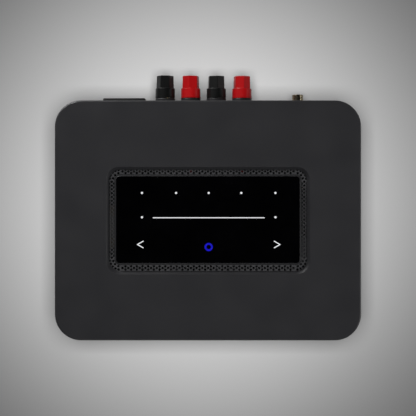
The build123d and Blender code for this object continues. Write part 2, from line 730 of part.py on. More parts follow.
def panel_screws():
    """The two screws through the rear panel into the tray's posts."""
    screws = []
    head_end = PANEL_FACE_Y + BOARD_SCREW_HEAD_HEIGHT
    shank_start = PANEL_BACK_Y - TRAY_POST_DEPTH + 1
    for x in (-PANEL_SCREW_X, PANEL_SCREW_X):
        screw = rod(BOARD_SCREW_HEAD_RADIUS, x, PANEL_SCREW_Z, PANEL_FACE_Y, head_end)
        screw += rod(SCREW_RADIUS, x, PANEL_SCREW_Z, shank_start, PANEL_FACE_Y)
        slot_y = head_end - DRIVE_DEPTH / 2
        for arm in ((3.0, DRIVE_DEPTH, DRIVE_WIDTH), (DRIVE_WIDTH, DRIVE_DEPTH, 3.0)):
            screw -= Pos(x, slot_y, PANEL_SCREW_Z) * Box(*arm)
        screws.append(screw)
    return group(screws)


# ---------------------------------------------------------------- speaker terminals
def post_collar(x):
    """The insulating collar outside the panel, with a spigot through it."""
    body = rod(COLLAR_RADIUS, x, POST_Z, PANEL_FACE_Y, COLLAR_FACE_Y)
    body = fillet(body.edges().sort_by(Axis.Y)[-1], 0.5)
    body += rod(COLLAR_SPIGOT_RADIUS, x, POST_Z, PANEL_BACK_Y, PANEL_FACE_Y)
    return body - rod(STUD_RADIUS, x, POST_Z, PANEL_BACK_Y - 1, COLLAR_FACE_Y + 1)


def post_stud(x):
    """The plated stud: thread grooves outside, and a bore for a banana plug."""
    start = PANEL_BACK_Y - STUD_INNER_LENGTH
    end = COLLAR_FACE_Y + STUD_REACH
    body = rod(STUD_RADIUS, x, POST_Z, start, end)
    body = chamfer(body.edges().sort_by(Axis.Y)[-1], 0.4)
    groove_pitch = 1.0
    groove_count = int((STUD_REACH - 2) / groove_pitch)
    for i in range(groove_count):
        y = COLLAR_FACE_Y + 1.0 + groove_pitch * i
        ring = rod(STUD_RADIUS + 1, x, POST_Z, y, y + groove_pitch / 2)
        inner_radius = STUD_RADIUS - STUD_THREAD_DEPTH
        body -= ring - rod(inner_radius, x, POST_Z, y - 1, y + groove_pitch)
    return body - rod(BANANA_RADIUS, x, POST_Z, end - BANANA_DEPTH, end + 1)


def post_washer(x, loosened):
    """The pressure washer that the cap pushes but doesn't turn."""
    start = COLLAR_FACE_Y + loosened
    end = start + WASHER_THICKNESS
    hole = rod(STUD_RADIUS + WASHER_GAP, x, POST_Z, start - 1, end + 1)
    return rod(WASHER_RADIUS, x, POST_Z, start, end) - hole


def post_cap(x, loosened, turn):
    """The insulated cap: a round skirt, then a hexagonal grip with an open end."""
    start = COLLAR_FACE_Y + CAP_GAP + loosened
    shoulder = start + CAP_SKIRT_LENGTH
    end = shoulder + CAP_HEX_LENGTH
    skirt = cone(CAP_SKIRT_RADIUS, CAP_SHOULDER_RADIUS, x, POST_Z, start, shoulder)
    skirt = fillet(skirt.edges().sort_by(Axis.Y)[-1], 0.45)
    hexagon = RegularPolygon(CAP_HEX_ROOT_RADIUS, 6, rotation=turn)
    hexagon = fillet(hexagon.vertices(), CAP_HEX_CORNER)
    shrink = (CAP_HEX_ROOT_RADIUS - CAP_HEX_TIP_RADIUS) * math.cos(math.pi / 6)
    lean = math.degrees(math.atan2(shrink, CAP_HEX_LENGTH))
    plane = Plane(origin=(x, shoulder, POST_Z), x_dir=(1, 0, 0), z_dir=(0, 1, 0))
    grip = extrude(plane * hexagon, CAP_HEX_LENGTH, taper=lean)
    grip = fillet(grip.faces().sort_by(Axis.Y)[-1].edges(), 0.4)
    body = skirt + grip
    seat_depth = WASHER_THICKNESS - CAP_GAP
    body -= rod(WASHER_RADIUS + WASHER_GAP, x, POST_Z, start - 1, start + seat_depth)
    body -= rod(STUD_RADIUS + THREAD_GAP, x, POST_Z, start - 1, end - CAP_END_WALL)
    return body - rod(CAP_MOUTH_RADIUS, x, POST_Z, start, end + 1)


def post_nuts():
    """The hexagon nuts that clamp the studs from inside."""
    outline = RegularPolygon(NUT_FLATS / 2, 6, major_radius=False)
    end = PANEL_BACK_Y - LUG_THICKNESS
    start = end - NUT_THICKNESS
    nuts = []
    for x in POST_XS:
        nut = along_y(outline, x, POST_Z, start, end)
        nuts.append(nut - rod(STUD_RADIUS, x, POST_Z, start - 1, end + 1))
    return group(nuts)


def speaker_leads():
    """Ring terminals on the studs, and the insulated leads to the amplifier board."""
    parts = []
    face = PANEL_BACK_Y - LUG_THICKNESS
    lead_z = POST_Z + LUG_REACH - LUG_WIDTH / 2
    for x in POST_XS:
        lug = rod(LUG_RADIUS, x, POST_Z, face, PANEL_BACK_Y)
        tab = (LUG_WIDTH, LUG_THICKNESS, LUG_REACH)
        lug += block(tab, x, face + LUG_THICKNESS / 2, POST_Z)
        lug -= rod(STUD_RADIUS, x, POST_Z, face - 1, PANEL_BACK_Y + 1)
        path = FilletPolyline(
            (x, face, lead_z),
            (x, face - 45, lead_z),
            (x, LEAD_LANDING_Y, lead_z - 10),
            (x, LEAD_LANDING_Y, BOARD_TOP),
            radius=LEAD_BEND,
        )
        start = Plane(origin=(x, face, lead_z), x_dir=(1, 0, 0), z_dir=(0, -1, 0))
        lead = sweep(start * Circle(LEAD_RADIUS), path)
        parts += [lug, lead]
    return group(parts)


# ---------------------------------------------------------------- mains inlet
def cavity_outline():
    """The inlet's socket outline, with its two upper corners cut off."""
    half_w, half_h = INLET_CAVITY_WIDTH / 2, INLET_CAVITY_HEIGHT / 2
    cut = INLET_CAVITY_CHAMFER
    points = [
        (-half_w, -half_h),
        (half_w, -half_h),
        (half_w, half_h - cut),
        (half_w - cut, half_h),
        (cut - half_w, half_h),
        (-half_w, half_h - cut),
    ]
    return make_face(Polyline(*points, close=True))


def mains_inlet():
    """The moulded mains inlet: a flange outside the panel and a hollow body behind."""
    face = PANEL_FACE_Y + INLET_FLANGE_THICKNESS
    flange = RectangleRounded(INLET_FLANGE_WIDTH, INLET_FLANGE_HEIGHT, INLET_FLANGE_CORNER)
    body = along_y(flange, INLET_X, INLET_Z, PANEL_FACE_Y, face)
    body = fillet(body.faces().sort_by(Axis.Y)[-1].edges(), 0.5)
    case = Rectangle(INLET_BODY_WIDTH, INLET_BODY_HEIGHT)
    body += along_y(case, INLET_X, INLET_Z, PANEL_FACE_Y - INLET_BODY_DEPTH, PANEL_FACE_Y)
    floor_y = face - INLET_CAVITY_DEPTH
    body -= along_y(cavity_outline(), INLET_X, INLET_Z, floor_y, face + 1)
    for pin in inlet_pins().solids():
        body -= pin
    return body


def inlet_pin_places():
    """The three pins' middles: live, neutral and the raised earth."""
    return [
        (INLET_X - INLET_PIN_SPREAD, INLET_Z),
        (INLET_X + INLET_PIN_SPREAD, INLET_Z),
        (INLET_X, INLET_Z + INLET_EARTH_RISE),
    ]


def inlet_pins():
    """Flat pins in the socket, each running back to a solder tab inside."""
    floor_y = PANEL_FACE_Y + INLET_FLANGE_THICKNESS - INLET_CAVITY_DEPTH
    back_y = PANEL_FACE_Y - INLET_BODY_DEPTH
    pins = []
    for x, z in inlet_pin_places():
        start = back_y - INLET_TAB_LENGTH
        size = (INLET_PIN_WIDTH, floor_y + INLET_PIN_LENGTH - start, INLET_PIN_HEIGHT)
        bottom = z - INLET_PIN_HEIGHT / 2
        pin = block(size, x, start + size[1] / 2, bottom)
        pins.append(chamfer(pin.faces().sort_by(Axis.Y)[-1].edges(), 0.5))
    return group(pins)


def mains_leads():
    """The live and neutral leads from the inlet's tabs down to the power board."""
    start_y = PANEL_FACE_Y - INLET_BODY_DEPTH - INLET_TAB_LENGTH
    leads = []
    for x, z in inlet_pin_places()[:2]:
        path = FilletPolyline(
            (x, start_y, z),
            (x, start_y - 12, z),
            (x, start_y - 12, BOARD_TOP),
            radius=MAINS_LEAD_BEND,
        )
        start = Plane(origin=(x, start_y, z), x_dir=(1, 0, 0), z_dir=(0, -1, 0))
        leads.append(sweep(start * Circle(MAINS_LEAD_RADIUS), path))
    return group(leads)


# ---------------------------------------------------------------- signal sockets
def sub_jack_shell():
    """The plated outer ring of the subwoofer socket, with its flange."""
    end = PANEL_FACE_Y + SUB_SHELL_REACH
    body = rod(SUB_SHELL_RADIUS, SUB_X, SUB_Z, PANEL_BACK_Y, end)
    body = chamfer(body.edges().sort_by(Axis.Y)[-1], 0.3)
    flange_end = PANEL_FACE_Y + SUB_FLANGE_THICKNESS
    body += rod(SUB_FLANGE_RADIUS, SUB_X, SUB_Z, PANEL_FACE_Y, flange_end)
    inner_radius = SUB_SHELL_RADIUS - SUB_SHELL_WALL
    return body - rod(inner_radius, SUB_X, SUB_Z, PANEL_BACK_Y - 1, end + 1)


def sub_jack_core():
    """The insulator inside the ring, and the socket's block on the board."""
    end = PANEL_FACE_Y + SUB_SHELL_REACH - SUB_CORE_SETBACK
    inner_radius = SUB_SHELL_RADIUS - SUB_SHELL_WALL
    body = rod(inner_radius, SUB_X, SUB_Z, PANEL_BACK_Y, end)
    block_y = PANEL_BACK_Y - SUB_BODY_SIZE[1] / 2
    body += block(SUB_BODY_SIZE, SUB_X, block_y, BOARD_TOP)
    start = PANEL_BACK_Y - SUB_BODY_SIZE[1] - 1
    return body - rod(SUB_CONTACT_RADIUS, SUB_X, SUB_Z, start, end + 1)


def sub_jack_contact():
    """The plated tube in the middle, which grips the plug's pin."""
    end = PANEL_FACE_Y + SUB_SHELL_REACH - SUB_CORE_SETBACK
    start = PANEL_BACK_Y - SUB_BODY_SIZE[1]
    body = rod(SUB_CONTACT_RADIUS, SUB_X, SUB_Z, start, end)
    return body - rod(SUB_PIN_RADIUS, SUB_X, SUB_Z, end - SUB_PIN_DEPTH, end + 1)


def network_socket():
    """The shielded network socket, open to the back with a latch slot above."""
    face = PANEL_FACE_Y + SOCKET_PROUD
    body = block(NETWORK_SIZE, NETWORK_X, face - NETWORK_SIZE[1] / 2, BOARD_TOP)
    cavity_bottom = BOARD_TOP + 1.2
    cavity_y = face - NETWORK_CAVITY[1] / 2
    body -= block(NETWORK_CAVITY, NETWORK_X, cavity_y + 0.5, cavity_bottom)
    latch_bottom = cavity_bottom + NETWORK_CAVITY[2]
    return body - block(NETWORK_LATCH, NETWORK_X, cavity_y + 0.5, latch_bottom)


def usb_socket():
    """The USB socket's folded shell."""
    face = PANEL_FACE_Y + SOCKET_PROUD
    body = block(USB_SIZE, USB_X, face - USB_SIZE[1] / 2, BOARD_TOP)
    inside = Rectangle(USB_SIZE[0] - 2 * USB_WALL, USB_SIZE[2] - 2 * USB_WALL)
    back = face - USB_SIZE[1] + SOCKET_BACK
    return body - along_y(inside, USB_X, BOARD_TOP + USB_SIZE[2] / 2, back, face + 1)


def hdmi_outline(shrink):
    """The display socket's outline: a bar with its lower corners cut off."""
    half_w = HDMI_SIZE[0] / 2 - shrink
    half_h = HDMI_SIZE[2] / 2 - shrink
    cut = HDMI_CHAMFER
    points = [
        (-half_w, half_h),
        (half_w, half_h),
        (half_w, cut - half_h),
        (half_w - cut, -half_h),
        (cut - half_w, -half_h),
        (-half_w, cut - half_h),
    ]
    return make_face(Polyline(*points, close=True))


def hdmi_socket():
    """The display socket's folded shell."""
    face = PANEL_FACE_Y + SOCKET_PROUD
    middle = BOARD_TOP + HDMI_SIZE[2] / 2
    back = face - HDMI_SIZE[1]
    body = along_y(hdmi_outline(0.0), HDMI_X, middle, back, face)
    inside = hdmi_outline(HDMI_WALL)
    return body - along_y(inside, HDMI_X, middle, back + SOCKET_BACK, face + 1)


def socket_inserts():
    """The plastic tongues and contact block inside the three digital sockets."""
    face = PANEL_FACE_Y + SOCKET_PROUD
    hdmi_back = face - HDMI_SIZE[1] + SOCKET_BACK
    hdmi_bottom = BOARD_TOP + HDMI_SIZE[2] / 2 - HDMI_TONGUE[2] / 2
    hdmi = block(HDMI_TONGUE, HDMI_X, hdmi_back + HDMI_TONGUE[1] / 2, hdmi_bottom)
    usb_back = face - USB_SIZE[1] + SOCKET_BACK
    usb_bottom = BOARD_TOP + USB_SIZE[2] - USB_WALL - USB_TONGUE[2] - 0.4
    usb = block(USB_TONGUE, USB_X, usb_back + USB_TONGUE[1] / 2, usb_bottom)
    contact_size = (9.0, 5.0, 1.8)
    contact_y = face - NETWORK_CAVITY[1] + 0.5 + contact_size[1] / 2
    contacts = block(contact_size, NETWORK_X, contact_y, BOARD_TOP + 1.2)
    return group([hdmi, usb, contacts])


def mini_jack(x):
    """A small round jack: a block on the board and a nozzle through the panel."""
    face = PANEL_FACE_Y + SOCKET_PROUD
    body = block(JACK_SIZE, x, PANEL_BACK_Y - JACK_SIZE[1] / 2, BOARD_TOP)
    body += rod(JACK_NOZZLE_RADIUS, x, jack_axis_z(), PANEL_BACK_Y, face)
    return body - rod(JACK_BORE_RADIUS, x, jack_axis_z(), face - JACK_BORE_DEPTH, face + 1)


# ---------------------------------------------------------------- electronics
def board(edges):
    """A bare circuit board with a clearance hole at each screw."""
    left, right, front, back = edges
    size = (right - left, back - front, BOARD_THICKNESS)
    body = block(size, (left + right) / 2, (front + back) / 2, BOARD_BOTTOM)
    for x, y in board_corners(edges):
        body -= upright(SCREW_RADIUS + SCREW_HOLE_GAP, x, y, BOARD_BOTTOM - 1, BOARD_TOP + 1)
    return body


def finned_sink(centre, size, base, fin_height, fins, bottom):
    """An extruded heat sink: a base plate with upright fins running along Y."""
    x, y = centre
    width, depth = size
    body = block((width, depth, base), x, y, bottom)
    pitch = (width - FIN_THICKNESS) / (fins - 1)
    for i in range(fins):
        fin_x = x - width / 2 + FIN_THICKNESS / 2 + pitch * i
        body += block((FIN_THICKNESS, depth, base + fin_height), fin_x, y, bottom)
    return body


def board_chips():
    """The processor, memory, converter and output-stage chips."""
    cpu_x, cpu_y = CPU_SINK_CENTRE
    amp_x, amp_y = AMP_SINK_CENTRE
    chips = [
        block((19, 19, CHIP_HEIGHT), cpu_x, cpu_y, BOARD_TOP),
        block((14, 14, CHIP_HEIGHT), amp_x - 18, amp_y, BOARD_TOP),
        block((14, 14, CHIP_HEIGHT), amp_x + 18, amp_y, BOARD_TOP),
        block((12, 9, 1.2), cpu_x + 24, cpu_y - 9, BOARD_TOP),
        block((12, 9, 1.2), cpu_x + 24, cpu_y + 2, BOARD_TOP),
        block((7, 7, 1.0), cpu_x + 44, cpu_y - 1, BOARD_TOP),
    ]
    return group(chips)


def output_inductors():
    """The four moulded inductors of the output filter."""
    size = (INDUCTOR_SIZE, INDUCTOR_SIZE, INDUCTOR_SIZE)
    ys = [INDUCTOR_FIRST_Y + INDUCTOR_PITCH * i for i in range(POST_COUNT)]
    blocks = [block(size, INDUCTOR_X, y, BOARD_TOP) for y in ys]
    return group([fillet(b.edges().filter_by(Axis.Z), 1.5) for b in blocks])


def bulk_capacitors():
    """The two upright reservoir capacitors."""
    top = BOARD_TOP + CAPACITOR_HEIGHT
    cans = [upright(CAPACITOR_RADIUS, CAPACITOR_X, y, BOARD_TOP, top) for y in CAPACITOR_Y]
    return group([fillet(can.edges().sort_by(Axis.Z)[-1], 1.0) for can in cans])


def power_transformer():
    """The switching transformer: a wound coil between two ferrite halves."""
    x, y = TRANSFORMER_CENTRE
    width, depth, height = TRANSFORMER_SIZE
    core = block((width, depth * 0.5, height), x, y, BOARD_TOP)
    coil_width = width * 0.72
    coil = block((coil_width, depth, height * 0.72), x, y, BOARD_TOP + height * 0.14)
    return core + coil


def wifi_module():
    """The wireless module under its screening can."""
    return block(WIFI_SIZE, *WIFI_CENTRE, BOARD_TOP)


def wifi_antennas():
    """The two printed aerials on the inside of the front wall."""
    y = -CASE_DEPTH / 2 + SHELL_WALL + ANTENNA_SIZE[1] / 2
    return group([block(ANTENNA_SIZE, x, y, ANTENNA_Z) for x in (-ANTENNA_X, ANTENNA_X)])


def fixed_nodes():
    """Every node that appears once, by name."""
    window_floor = TOTAL_HEIGHT - WINDOW_DEPTH
    sink_bottom = BOARD_TOP + CHIP_HEIGHT
    nodes = {
        "top_shell": top_shell(),
        "base_tray": base_tray(),
        "rear_panel": rear_panel(),
        "vent_grille": vent_grille(),
        "touch_glass": touch_glass(),
        "glass_carrier": glass_carrier(),
        "touch_board": touch_board(),
        "touch_ribbon": touch_ribbon(),
        "case_screws": case_screws(),
        "board_screws": board_screws(),
        "panel_screws": panel_screws(),
        "post_nuts": post_nuts(),
        "speaker_leads": speaker_leads(),
        "mains_inlet": mains_inlet(),
        "inlet_pins": inlet_pins(),
        "mains_leads": mains_leads(),
        "sub_jack_shell": sub_jack_shell(),
        "sub_jack_core": sub_jack_core(),
        "sub_jack_contact": sub_jack_contact(),
        "network_socket": network_socket(),
        "usb_socket": usb_socket(),
        "hdmi_socket": hdmi_socket(),
        "socket_inserts": socket_inserts(),
        "line_in_jack": mini_jack(LINE_IN_X),
        "trigger_jack": mini_jack(TRIGGER_X),
        "main_board": board(MAIN_BOARD),
        "amp_board": board(AMP_BOARD),
        "power_board": board(POWER_BOARD),
        "board_chips": board_chips(),
        "amp_heat_sink": finned_sink(
            AMP_SINK_CENTRE,
            AMP_SINK_SIZE,
            AMP_SINK_BASE,
            AMP_SINK_FIN_HEIGHT,
            AMP_SINK_FINS,
            sink_bottom,
        ),
        "processor_heat_sink": finned_sink(
            CPU_SINK_CENTRE,
            CPU_SINK_SIZE,
            CPU_SINK_BASE,
            CPU_SINK_FIN_HEIGHT,
            CPU_SINK_FINS,
            sink_bottom,
        ),
        "output_inductors": output_inductors(),
        "bulk_capacitors": bulk_capacitors(),
        "power_transformer": power_transformer(),
        "wifi_module": wifi_module(),
        "wifi_antennas": wifi_antennas(),
    }
    for name, outlines in WINDOW_SETS.items():
        nodes[name] = group(windows(outlines, 0.0, window_floor, TOTAL_HEIGHT))
    return nodes


def repeated_nodes():
    """The feet and the speaker terminals, one node for each piece."""
    nodes = {}
    sides = {"left": -1, "right": 1}
    ends = {"front": -1, "rear": 1}
    for end, sy in ends.items():
        for side, sx in sides.items():
            nodes[f"foot_{end}_{side}"] = foot(sx * FOOT_X, sy * FOOT_Y)
    for i, x in enumerate(POST_XS):
        post = f"post_{i + 1}"
        nodes[f"{post}_collar"] = post_collar(x)
        nodes[f"{post}_stud"] = post_stud(x)
        nodes[f"{post}_washer"] = post_washer(x, LOOSENED[i])
        nodes[f"{post}_cap"] = post_cap(x, LOOSENED[i], HEX_TURN[i])
    return nodes


os.makedirs("parts", exist_ok=True)
for node_name, node_shape in {**fixed_nodes(), **repeated_nodes()}.items():
    save(node_name, node_shape)
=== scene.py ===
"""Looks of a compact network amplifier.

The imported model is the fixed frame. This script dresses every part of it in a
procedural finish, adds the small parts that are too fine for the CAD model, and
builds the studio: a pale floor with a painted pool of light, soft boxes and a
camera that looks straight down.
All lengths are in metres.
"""

import logging
import math
import random
from dataclasses import dataclass, field
from enum import Enum
from typing import ClassVar

import bmesh
import bpy
from mathutils import Matrix, Vector
from mathutils.bvhtree import BVHTree

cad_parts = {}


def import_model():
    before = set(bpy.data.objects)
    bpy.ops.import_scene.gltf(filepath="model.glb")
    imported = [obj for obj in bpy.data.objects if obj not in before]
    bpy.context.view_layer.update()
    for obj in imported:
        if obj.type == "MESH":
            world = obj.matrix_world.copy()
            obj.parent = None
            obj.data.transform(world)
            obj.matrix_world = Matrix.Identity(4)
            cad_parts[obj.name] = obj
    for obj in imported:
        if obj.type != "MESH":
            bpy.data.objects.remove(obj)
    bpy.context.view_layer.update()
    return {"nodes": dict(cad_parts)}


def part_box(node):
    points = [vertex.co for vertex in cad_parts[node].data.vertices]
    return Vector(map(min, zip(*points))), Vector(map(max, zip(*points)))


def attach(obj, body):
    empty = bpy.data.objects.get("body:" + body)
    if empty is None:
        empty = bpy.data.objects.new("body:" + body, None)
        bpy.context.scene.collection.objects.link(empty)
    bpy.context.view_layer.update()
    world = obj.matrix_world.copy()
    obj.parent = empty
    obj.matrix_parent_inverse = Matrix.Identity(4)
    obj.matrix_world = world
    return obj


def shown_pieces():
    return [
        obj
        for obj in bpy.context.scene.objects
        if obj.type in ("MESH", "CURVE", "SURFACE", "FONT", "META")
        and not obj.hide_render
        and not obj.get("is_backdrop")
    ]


MM = 0.001
BODY = "case"

Rgb = tuple[float, float, float]
Socket = bpy.types.NodeSocket
Value = float | Rgb | Socket

log = logging.getLogger("amplifier")


# ------------------------------------------------------------------ node graphs
class Graph:
    """One node tree, with short ways to add nodes and to join them."""

    def __init__(self, tree: bpy.types.NodeTree) -> None:
        """Keeps the tree that the nodes go into.

        Args:
            tree: A material's tree or a group.
        """
        self.tree = tree

    def node(self, kind: str, **settings: object) -> bpy.types.Node:
        """Adds a shader node.

        Args:
            kind: The node's type without its ShaderNode prefix.
            settings: Properties to set on the node.

        Returns:
            The new node.
        """
        made = self.tree.nodes.new("ShaderNode" + kind)
        for name, value in settings.items():
            setattr(made, name, value)
        return made

    def feed(self, target: Socket, value: Value) -> None:
        """Joins a socket to an input, or sets the input's own value.

        Args:
            target: The input.
            value: A number, a colour or another node's output.
        """
        if isinstance(value, bpy.types.NodeSocket):
            self.tree.links.new(value, target)
        elif isinstance(value, tuple) and target.type == "RGBA":
            target.default_value = (*value, 1.0)
        else:
            target.default_value = value

    def math(self, operation: str, *terms: Value, clamp: bool = False) -> Socket:
        """Adds a Math node.

        Args:
            operation: The operation's name, such as MULTIPLY.
            terms: Its one to three inputs.
            clamp: Whether the result is held between 0 and 1.

        Returns:
            The result.
        """
        made = self.node("Math", operation=operation, use_clamp=clamp)
        for target, term in zip(made.inputs, terms):
            self.feed(target, term)
        return made.outputs[0]

    def span(self, value: Value, low: float, high: float, start: float = 0.0,
             end: float = 1.0, smooth: bool = False) -> Socket:
        """Maps the range low..high onto start..end and holds it there.

        Args:
            value: The number to map.
            low: Where the mapped range starts.
            high: Where the mapped range ends.
            start: What low becomes.
            end: What high becomes.
            smooth: Whether the ends are eased.

        Returns:
            The mapped number.
        """
        kind = "SMOOTHSTEP" if smooth else "LINEAR"
        made = self.node("MapRange", interpolation_type=kind, clamp=True)
        for name, term in zip(
            ("Value", "From Min", "From Max", "To Min", "To Max"),
            (value, low, high, start, end),
        ):
            self.feed(made.inputs[name], term)
        return made.outputs["Result"]

    def around(self, value: Value, low: float, high: float, middle: float,
               swing: float) -> Socket:
        """Maps the range low..high onto a narrow range round a middle.

        Args:
            value: The number to map.
            low: Where the mapped range starts.
            high: Where the mapped range ends.
            middle: The middle of the result's range.
            swing: How far the result goes each way.

        Returns:
            The mapped number.
        """
        return self.span(value, low, high, middle - swing, middle + swing)

    def mixed(self, factor: Value, first: Value, second: Value,
              blend: str = "MIX") -> Socket:
        """Mixes two colours.

        Args:
            factor: How much of the second colour shows.
            first: The colour at factor 0.
            second: The colour at factor 1.
            blend: The blend mode.

        Returns:
            The mixed colour.
        """
        made = self.node("Mix", data_type="RGBA", blend_type=blend)
        colours = [s for s in made.inputs if s.type == "RGBA"]
        self.feed(made.inputs[0], factor)
        self.feed(colours[0], first)
        self.feed(colours[1], second)
        return next(s for s in made.outputs if s.type == "RGBA")

    def place(self) -> Socket:
        """Gives the point's place on the object, in metres."""
        return self.node("TexCoord").outputs["Object"]

    def normal(self) -> Socket:
        """Gives the surface's own normal."""
        return self.node("NewGeometry").outputs["Normal"]

    def axes(self, vector: Socket) -> tuple[Socket, Socket, Socket]:
        """Splits a vector into its parts.

        Args:
            vector: The vector.

        Returns:
            Its X, Y and Z.
        """
        made = self.node("SeparateXYZ")
        self.feed(made.inputs[0], vector)
        return made.outputs[0], made.outputs[1], made.outputs[2]

    def scaled(self, vector: Socket, stretch: tuple[float, float, float]) -> Socket:
        """Multiplies a vector by a number for each axis.

        Args:
            vector: The vector.
            stretch: The three numbers.

        Returns:
            The stretched vector.
        """
        made = self.node("VectorMath", operation="MULTIPLY")
        self.feed(made.inputs[0], vector)
        made.inputs[1].default_value = stretch
        return made.outputs[0]

    def noise(self, vector: Socket, scale: Value, detail: float = 2.0,
              roughness: float = 0.5) -> Socket:
        """Adds a noise texture.

        Args:
            vector: Where the noise is read.
            scale: Its waves for each metre.
            detail: How many finer layers it has.
            roughness: How strong the finer layers are.

        Returns:
            The noise, about 0 to 1.
        """
        made = self.node("TexNoise")
        self.feed(made.inputs["Vector"], vector)
        self.feed(made.inputs["Scale"], scale)
        made.inputs["Detail"].default_value = detail
        made.inputs["Roughness"].default_value = roughness
        return made.outputs[0]

    def bump(self, height: Socket, relief: float, normal: Socket | None = None) -> Socket:
        """Adds a Bump node.

        Args:
            height: The height map, 0 to 1.
            relief: What a height of 1 stands for, in metres.
            normal: The normal to start from, if it isn't the surface's own.

        Returns:
            The bumped normal.
        """
        made = self.node("Bump")
        made.inputs["Distance"].default_value = relief
        self.feed(made.inputs["Height"], height)
        if normal is not None:
            self.feed(made.inputs["Normal"], normal)
        return made.outputs[0]

    def surface(self, shader: bpy.types.Node, colour: Value, roughness: Value,
                normal: Socket, metallic: Value = 0.0) -> None:
        """Feeds the four inputs that every finish sets.

        Args:
            shader: The material's Principled shader.
            colour: Its base colour.
            roughness: Its roughness.
            normal: Its normal.
            metallic: How metallic it is.
        """
        self.feed(shader.inputs["Base Color"], colour)
        self.feed(shader.inputs["Roughness"], roughness)
        self.feed(shader.inputs["Normal"], normal)
        self.feed(shader.inputs["Metallic"], metallic)


# ------------------------------------------------------------------ shared effects
@dataclass(frozen=True)
class EffectSocket:
    """An input or output of a shared effect."""

    name: str
    default: float | None = None
    kind: str = "NodeSocketFloat"


class SharedEffect:
    """A shader node group that is built once and placed in many materials."""

    built: ClassVar[dict[str, bpy.types.NodeTree]] = {}
    title: ClassVar[str] = ""
    inputs: ClassVar[tuple[EffectSocket, ...]] = ()
    outputs: ClassVar[tuple[EffectSocket, ...]] = ()

    @classmethod
    def wire(cls, graph: Graph, given: dict[str, Socket]) -> dict[str, Socket]:
        """Builds the effect inside its group.

        Args:
            graph: The group's graph.
            given: The group's inputs by name.

        Returns:
            What each output shows, by name.
        """
        raise NotImplementedError

    @classmethod
    def tree(cls) -> bpy.types.NodeTree:
        """Returns the effect's group, which is built at the first call."""
        if cls.title not in SharedEffect.built:
            made = bpy.data.node_groups.new(cls.title, "ShaderNodeTree")
            for sockets, way in ((cls.inputs, "INPUT"), (cls.outputs, "OUTPUT")):
                for each in sockets:
                    socket = made.interface.new_socket(
                        name=each.name, in_out=way, socket_type=each.kind
                    )
                    if each.default is not None:
                        socket.default_value = each.default
            entry = made.nodes.new("NodeGroupInput")
            leave = made.nodes.new("NodeGroupOutput")
            graph = Graph(made)
            given = {each.name: entry.outputs[each.name] for each in cls.inputs}
            for name, value in cls.wire(graph, given).items():
                graph.feed(leave.inputs[name], value)
            SharedEffect.built[cls.title] = made
        return SharedEffect.built[cls.title]

    @classmethod
    def placed(cls, graph: Graph, **values: float) -> dict[str, Socket]:
        """Places the group in a material.

        Args:
            graph: The material's graph.
            values: The group's inputs, with _ for each space in a name.

        Returns:
            The group's outputs by name.
        """
        made = graph.node("Group", node_tree=cls.tree())
        for name, value in values.items():
            graph.feed(made.inputs[name.replace("_", " ")], value)
        return {each.name: made.outputs[each.name] for each in cls.outputs}


class FineGrain(SharedEffect):
    """The fine texture of a moulding, and the slow change of its shade."""

    title = "fine_grain"
    inputs = (EffectSocket("Grain Size", 0.0005),)
    outputs = (EffectSocket("Height"), EffectSocket("Mottle"))

    @classmethod
    def wire(cls, graph: Graph, given: dict[str, Socket]) -> dict[str, Socket]:
        """Builds fine noise for the height and wide noise for the mottle.

        Args:
            graph: The group's graph.
            given: The group's inputs by name.

        Returns:
            What each output shows, by name.
        """
        place = graph.place()
        waves = graph.math("DIVIDE", 1.0, given["Grain Size"])
        fine = graph.noise(place, waves, 3.0, 0.6)
        wide = graph.noise(place, graph.math("MULTIPLY", waves, 0.02), 3.0, 0.55)
        return {"Height": fine, "Mottle": graph.span(wide, 0.3, 0.7)}


class HandlingMarks(SharedEffect):
    """The faint smears and hairlines that handling leaves."""

    title = "handling_marks"
    inputs = (EffectSocket("Smear Size", 0.03),)
    outputs = (EffectSocket("Smear"), EffectSocket("Hairline"))

    @classmethod
    def wire(cls, graph: Graph, given: dict[str, Socket]) -> dict[str, Socket]:
        """Builds cloudy smears, and lines from two stretched noises.

        Args:
            graph: The group's graph.
            given: The group's inputs by name.

        Returns:
            What each output shows, by name.
        """
        place = graph.place()
        waves = graph.math("DIVIDE", 1.0, given["Smear Size"])
        cloud = graph.noise(place, waves, 4.0, 0.6)
        long_way = graph.noise(graph.scaled(place, (9.0, 900.0, 60.0)), 1.0, 1.0)
        cross_way = graph.noise(graph.scaled(place, (800.0, 12.0, 60.0)), 1.0, 1.0)
        lines = graph.math("MAXIMUM", long_way, cross_way)
        broken = graph.math("MULTIPLY", graph.span(lines, 0.7, 0.76),
                            graph.span(cloud, 0.45, 0.6))
        return {"Smear": graph.span(cloud, 0.42, 0.68, smooth=True), "Hairline": broken}


class SettledDust(SharedEffect):
    """The thin dust that lies on faces that look up."""

    title = "settled_dust"
    inputs = (EffectSocket("Amount", 0.1),)
    outputs = (EffectSocket("Dust"),)

    @classmethod
    def wire(cls, graph: Graph, given: dict[str, Socket]) -> dict[str, Socket]:
        """Builds specks and a thin veil, and keeps them to upward faces.

        Args:
            graph: The group's graph.
            given: The group's inputs by name.

        Returns:
            What each output shows, by name.
        """
        place = graph.place()
        up = graph.axes(graph.normal())[2]
        flat = graph.span(up, 0.55, 0.98, smooth=True)
        specks = graph.span(graph.noise(place, 2600.0, 1.0), 0.66, 0.78)
        veil = graph.span(graph.noise(place, 45.0, 3.0, 0.6), 0.35, 0.8, 0.0, 0.5)
        mask = graph.math("MULTIPLY", graph.math("ADD", specks, veil), flat)
        return {"Dust": graph.math("MULTIPLY", mask, given["Amount"], clamp=True)}


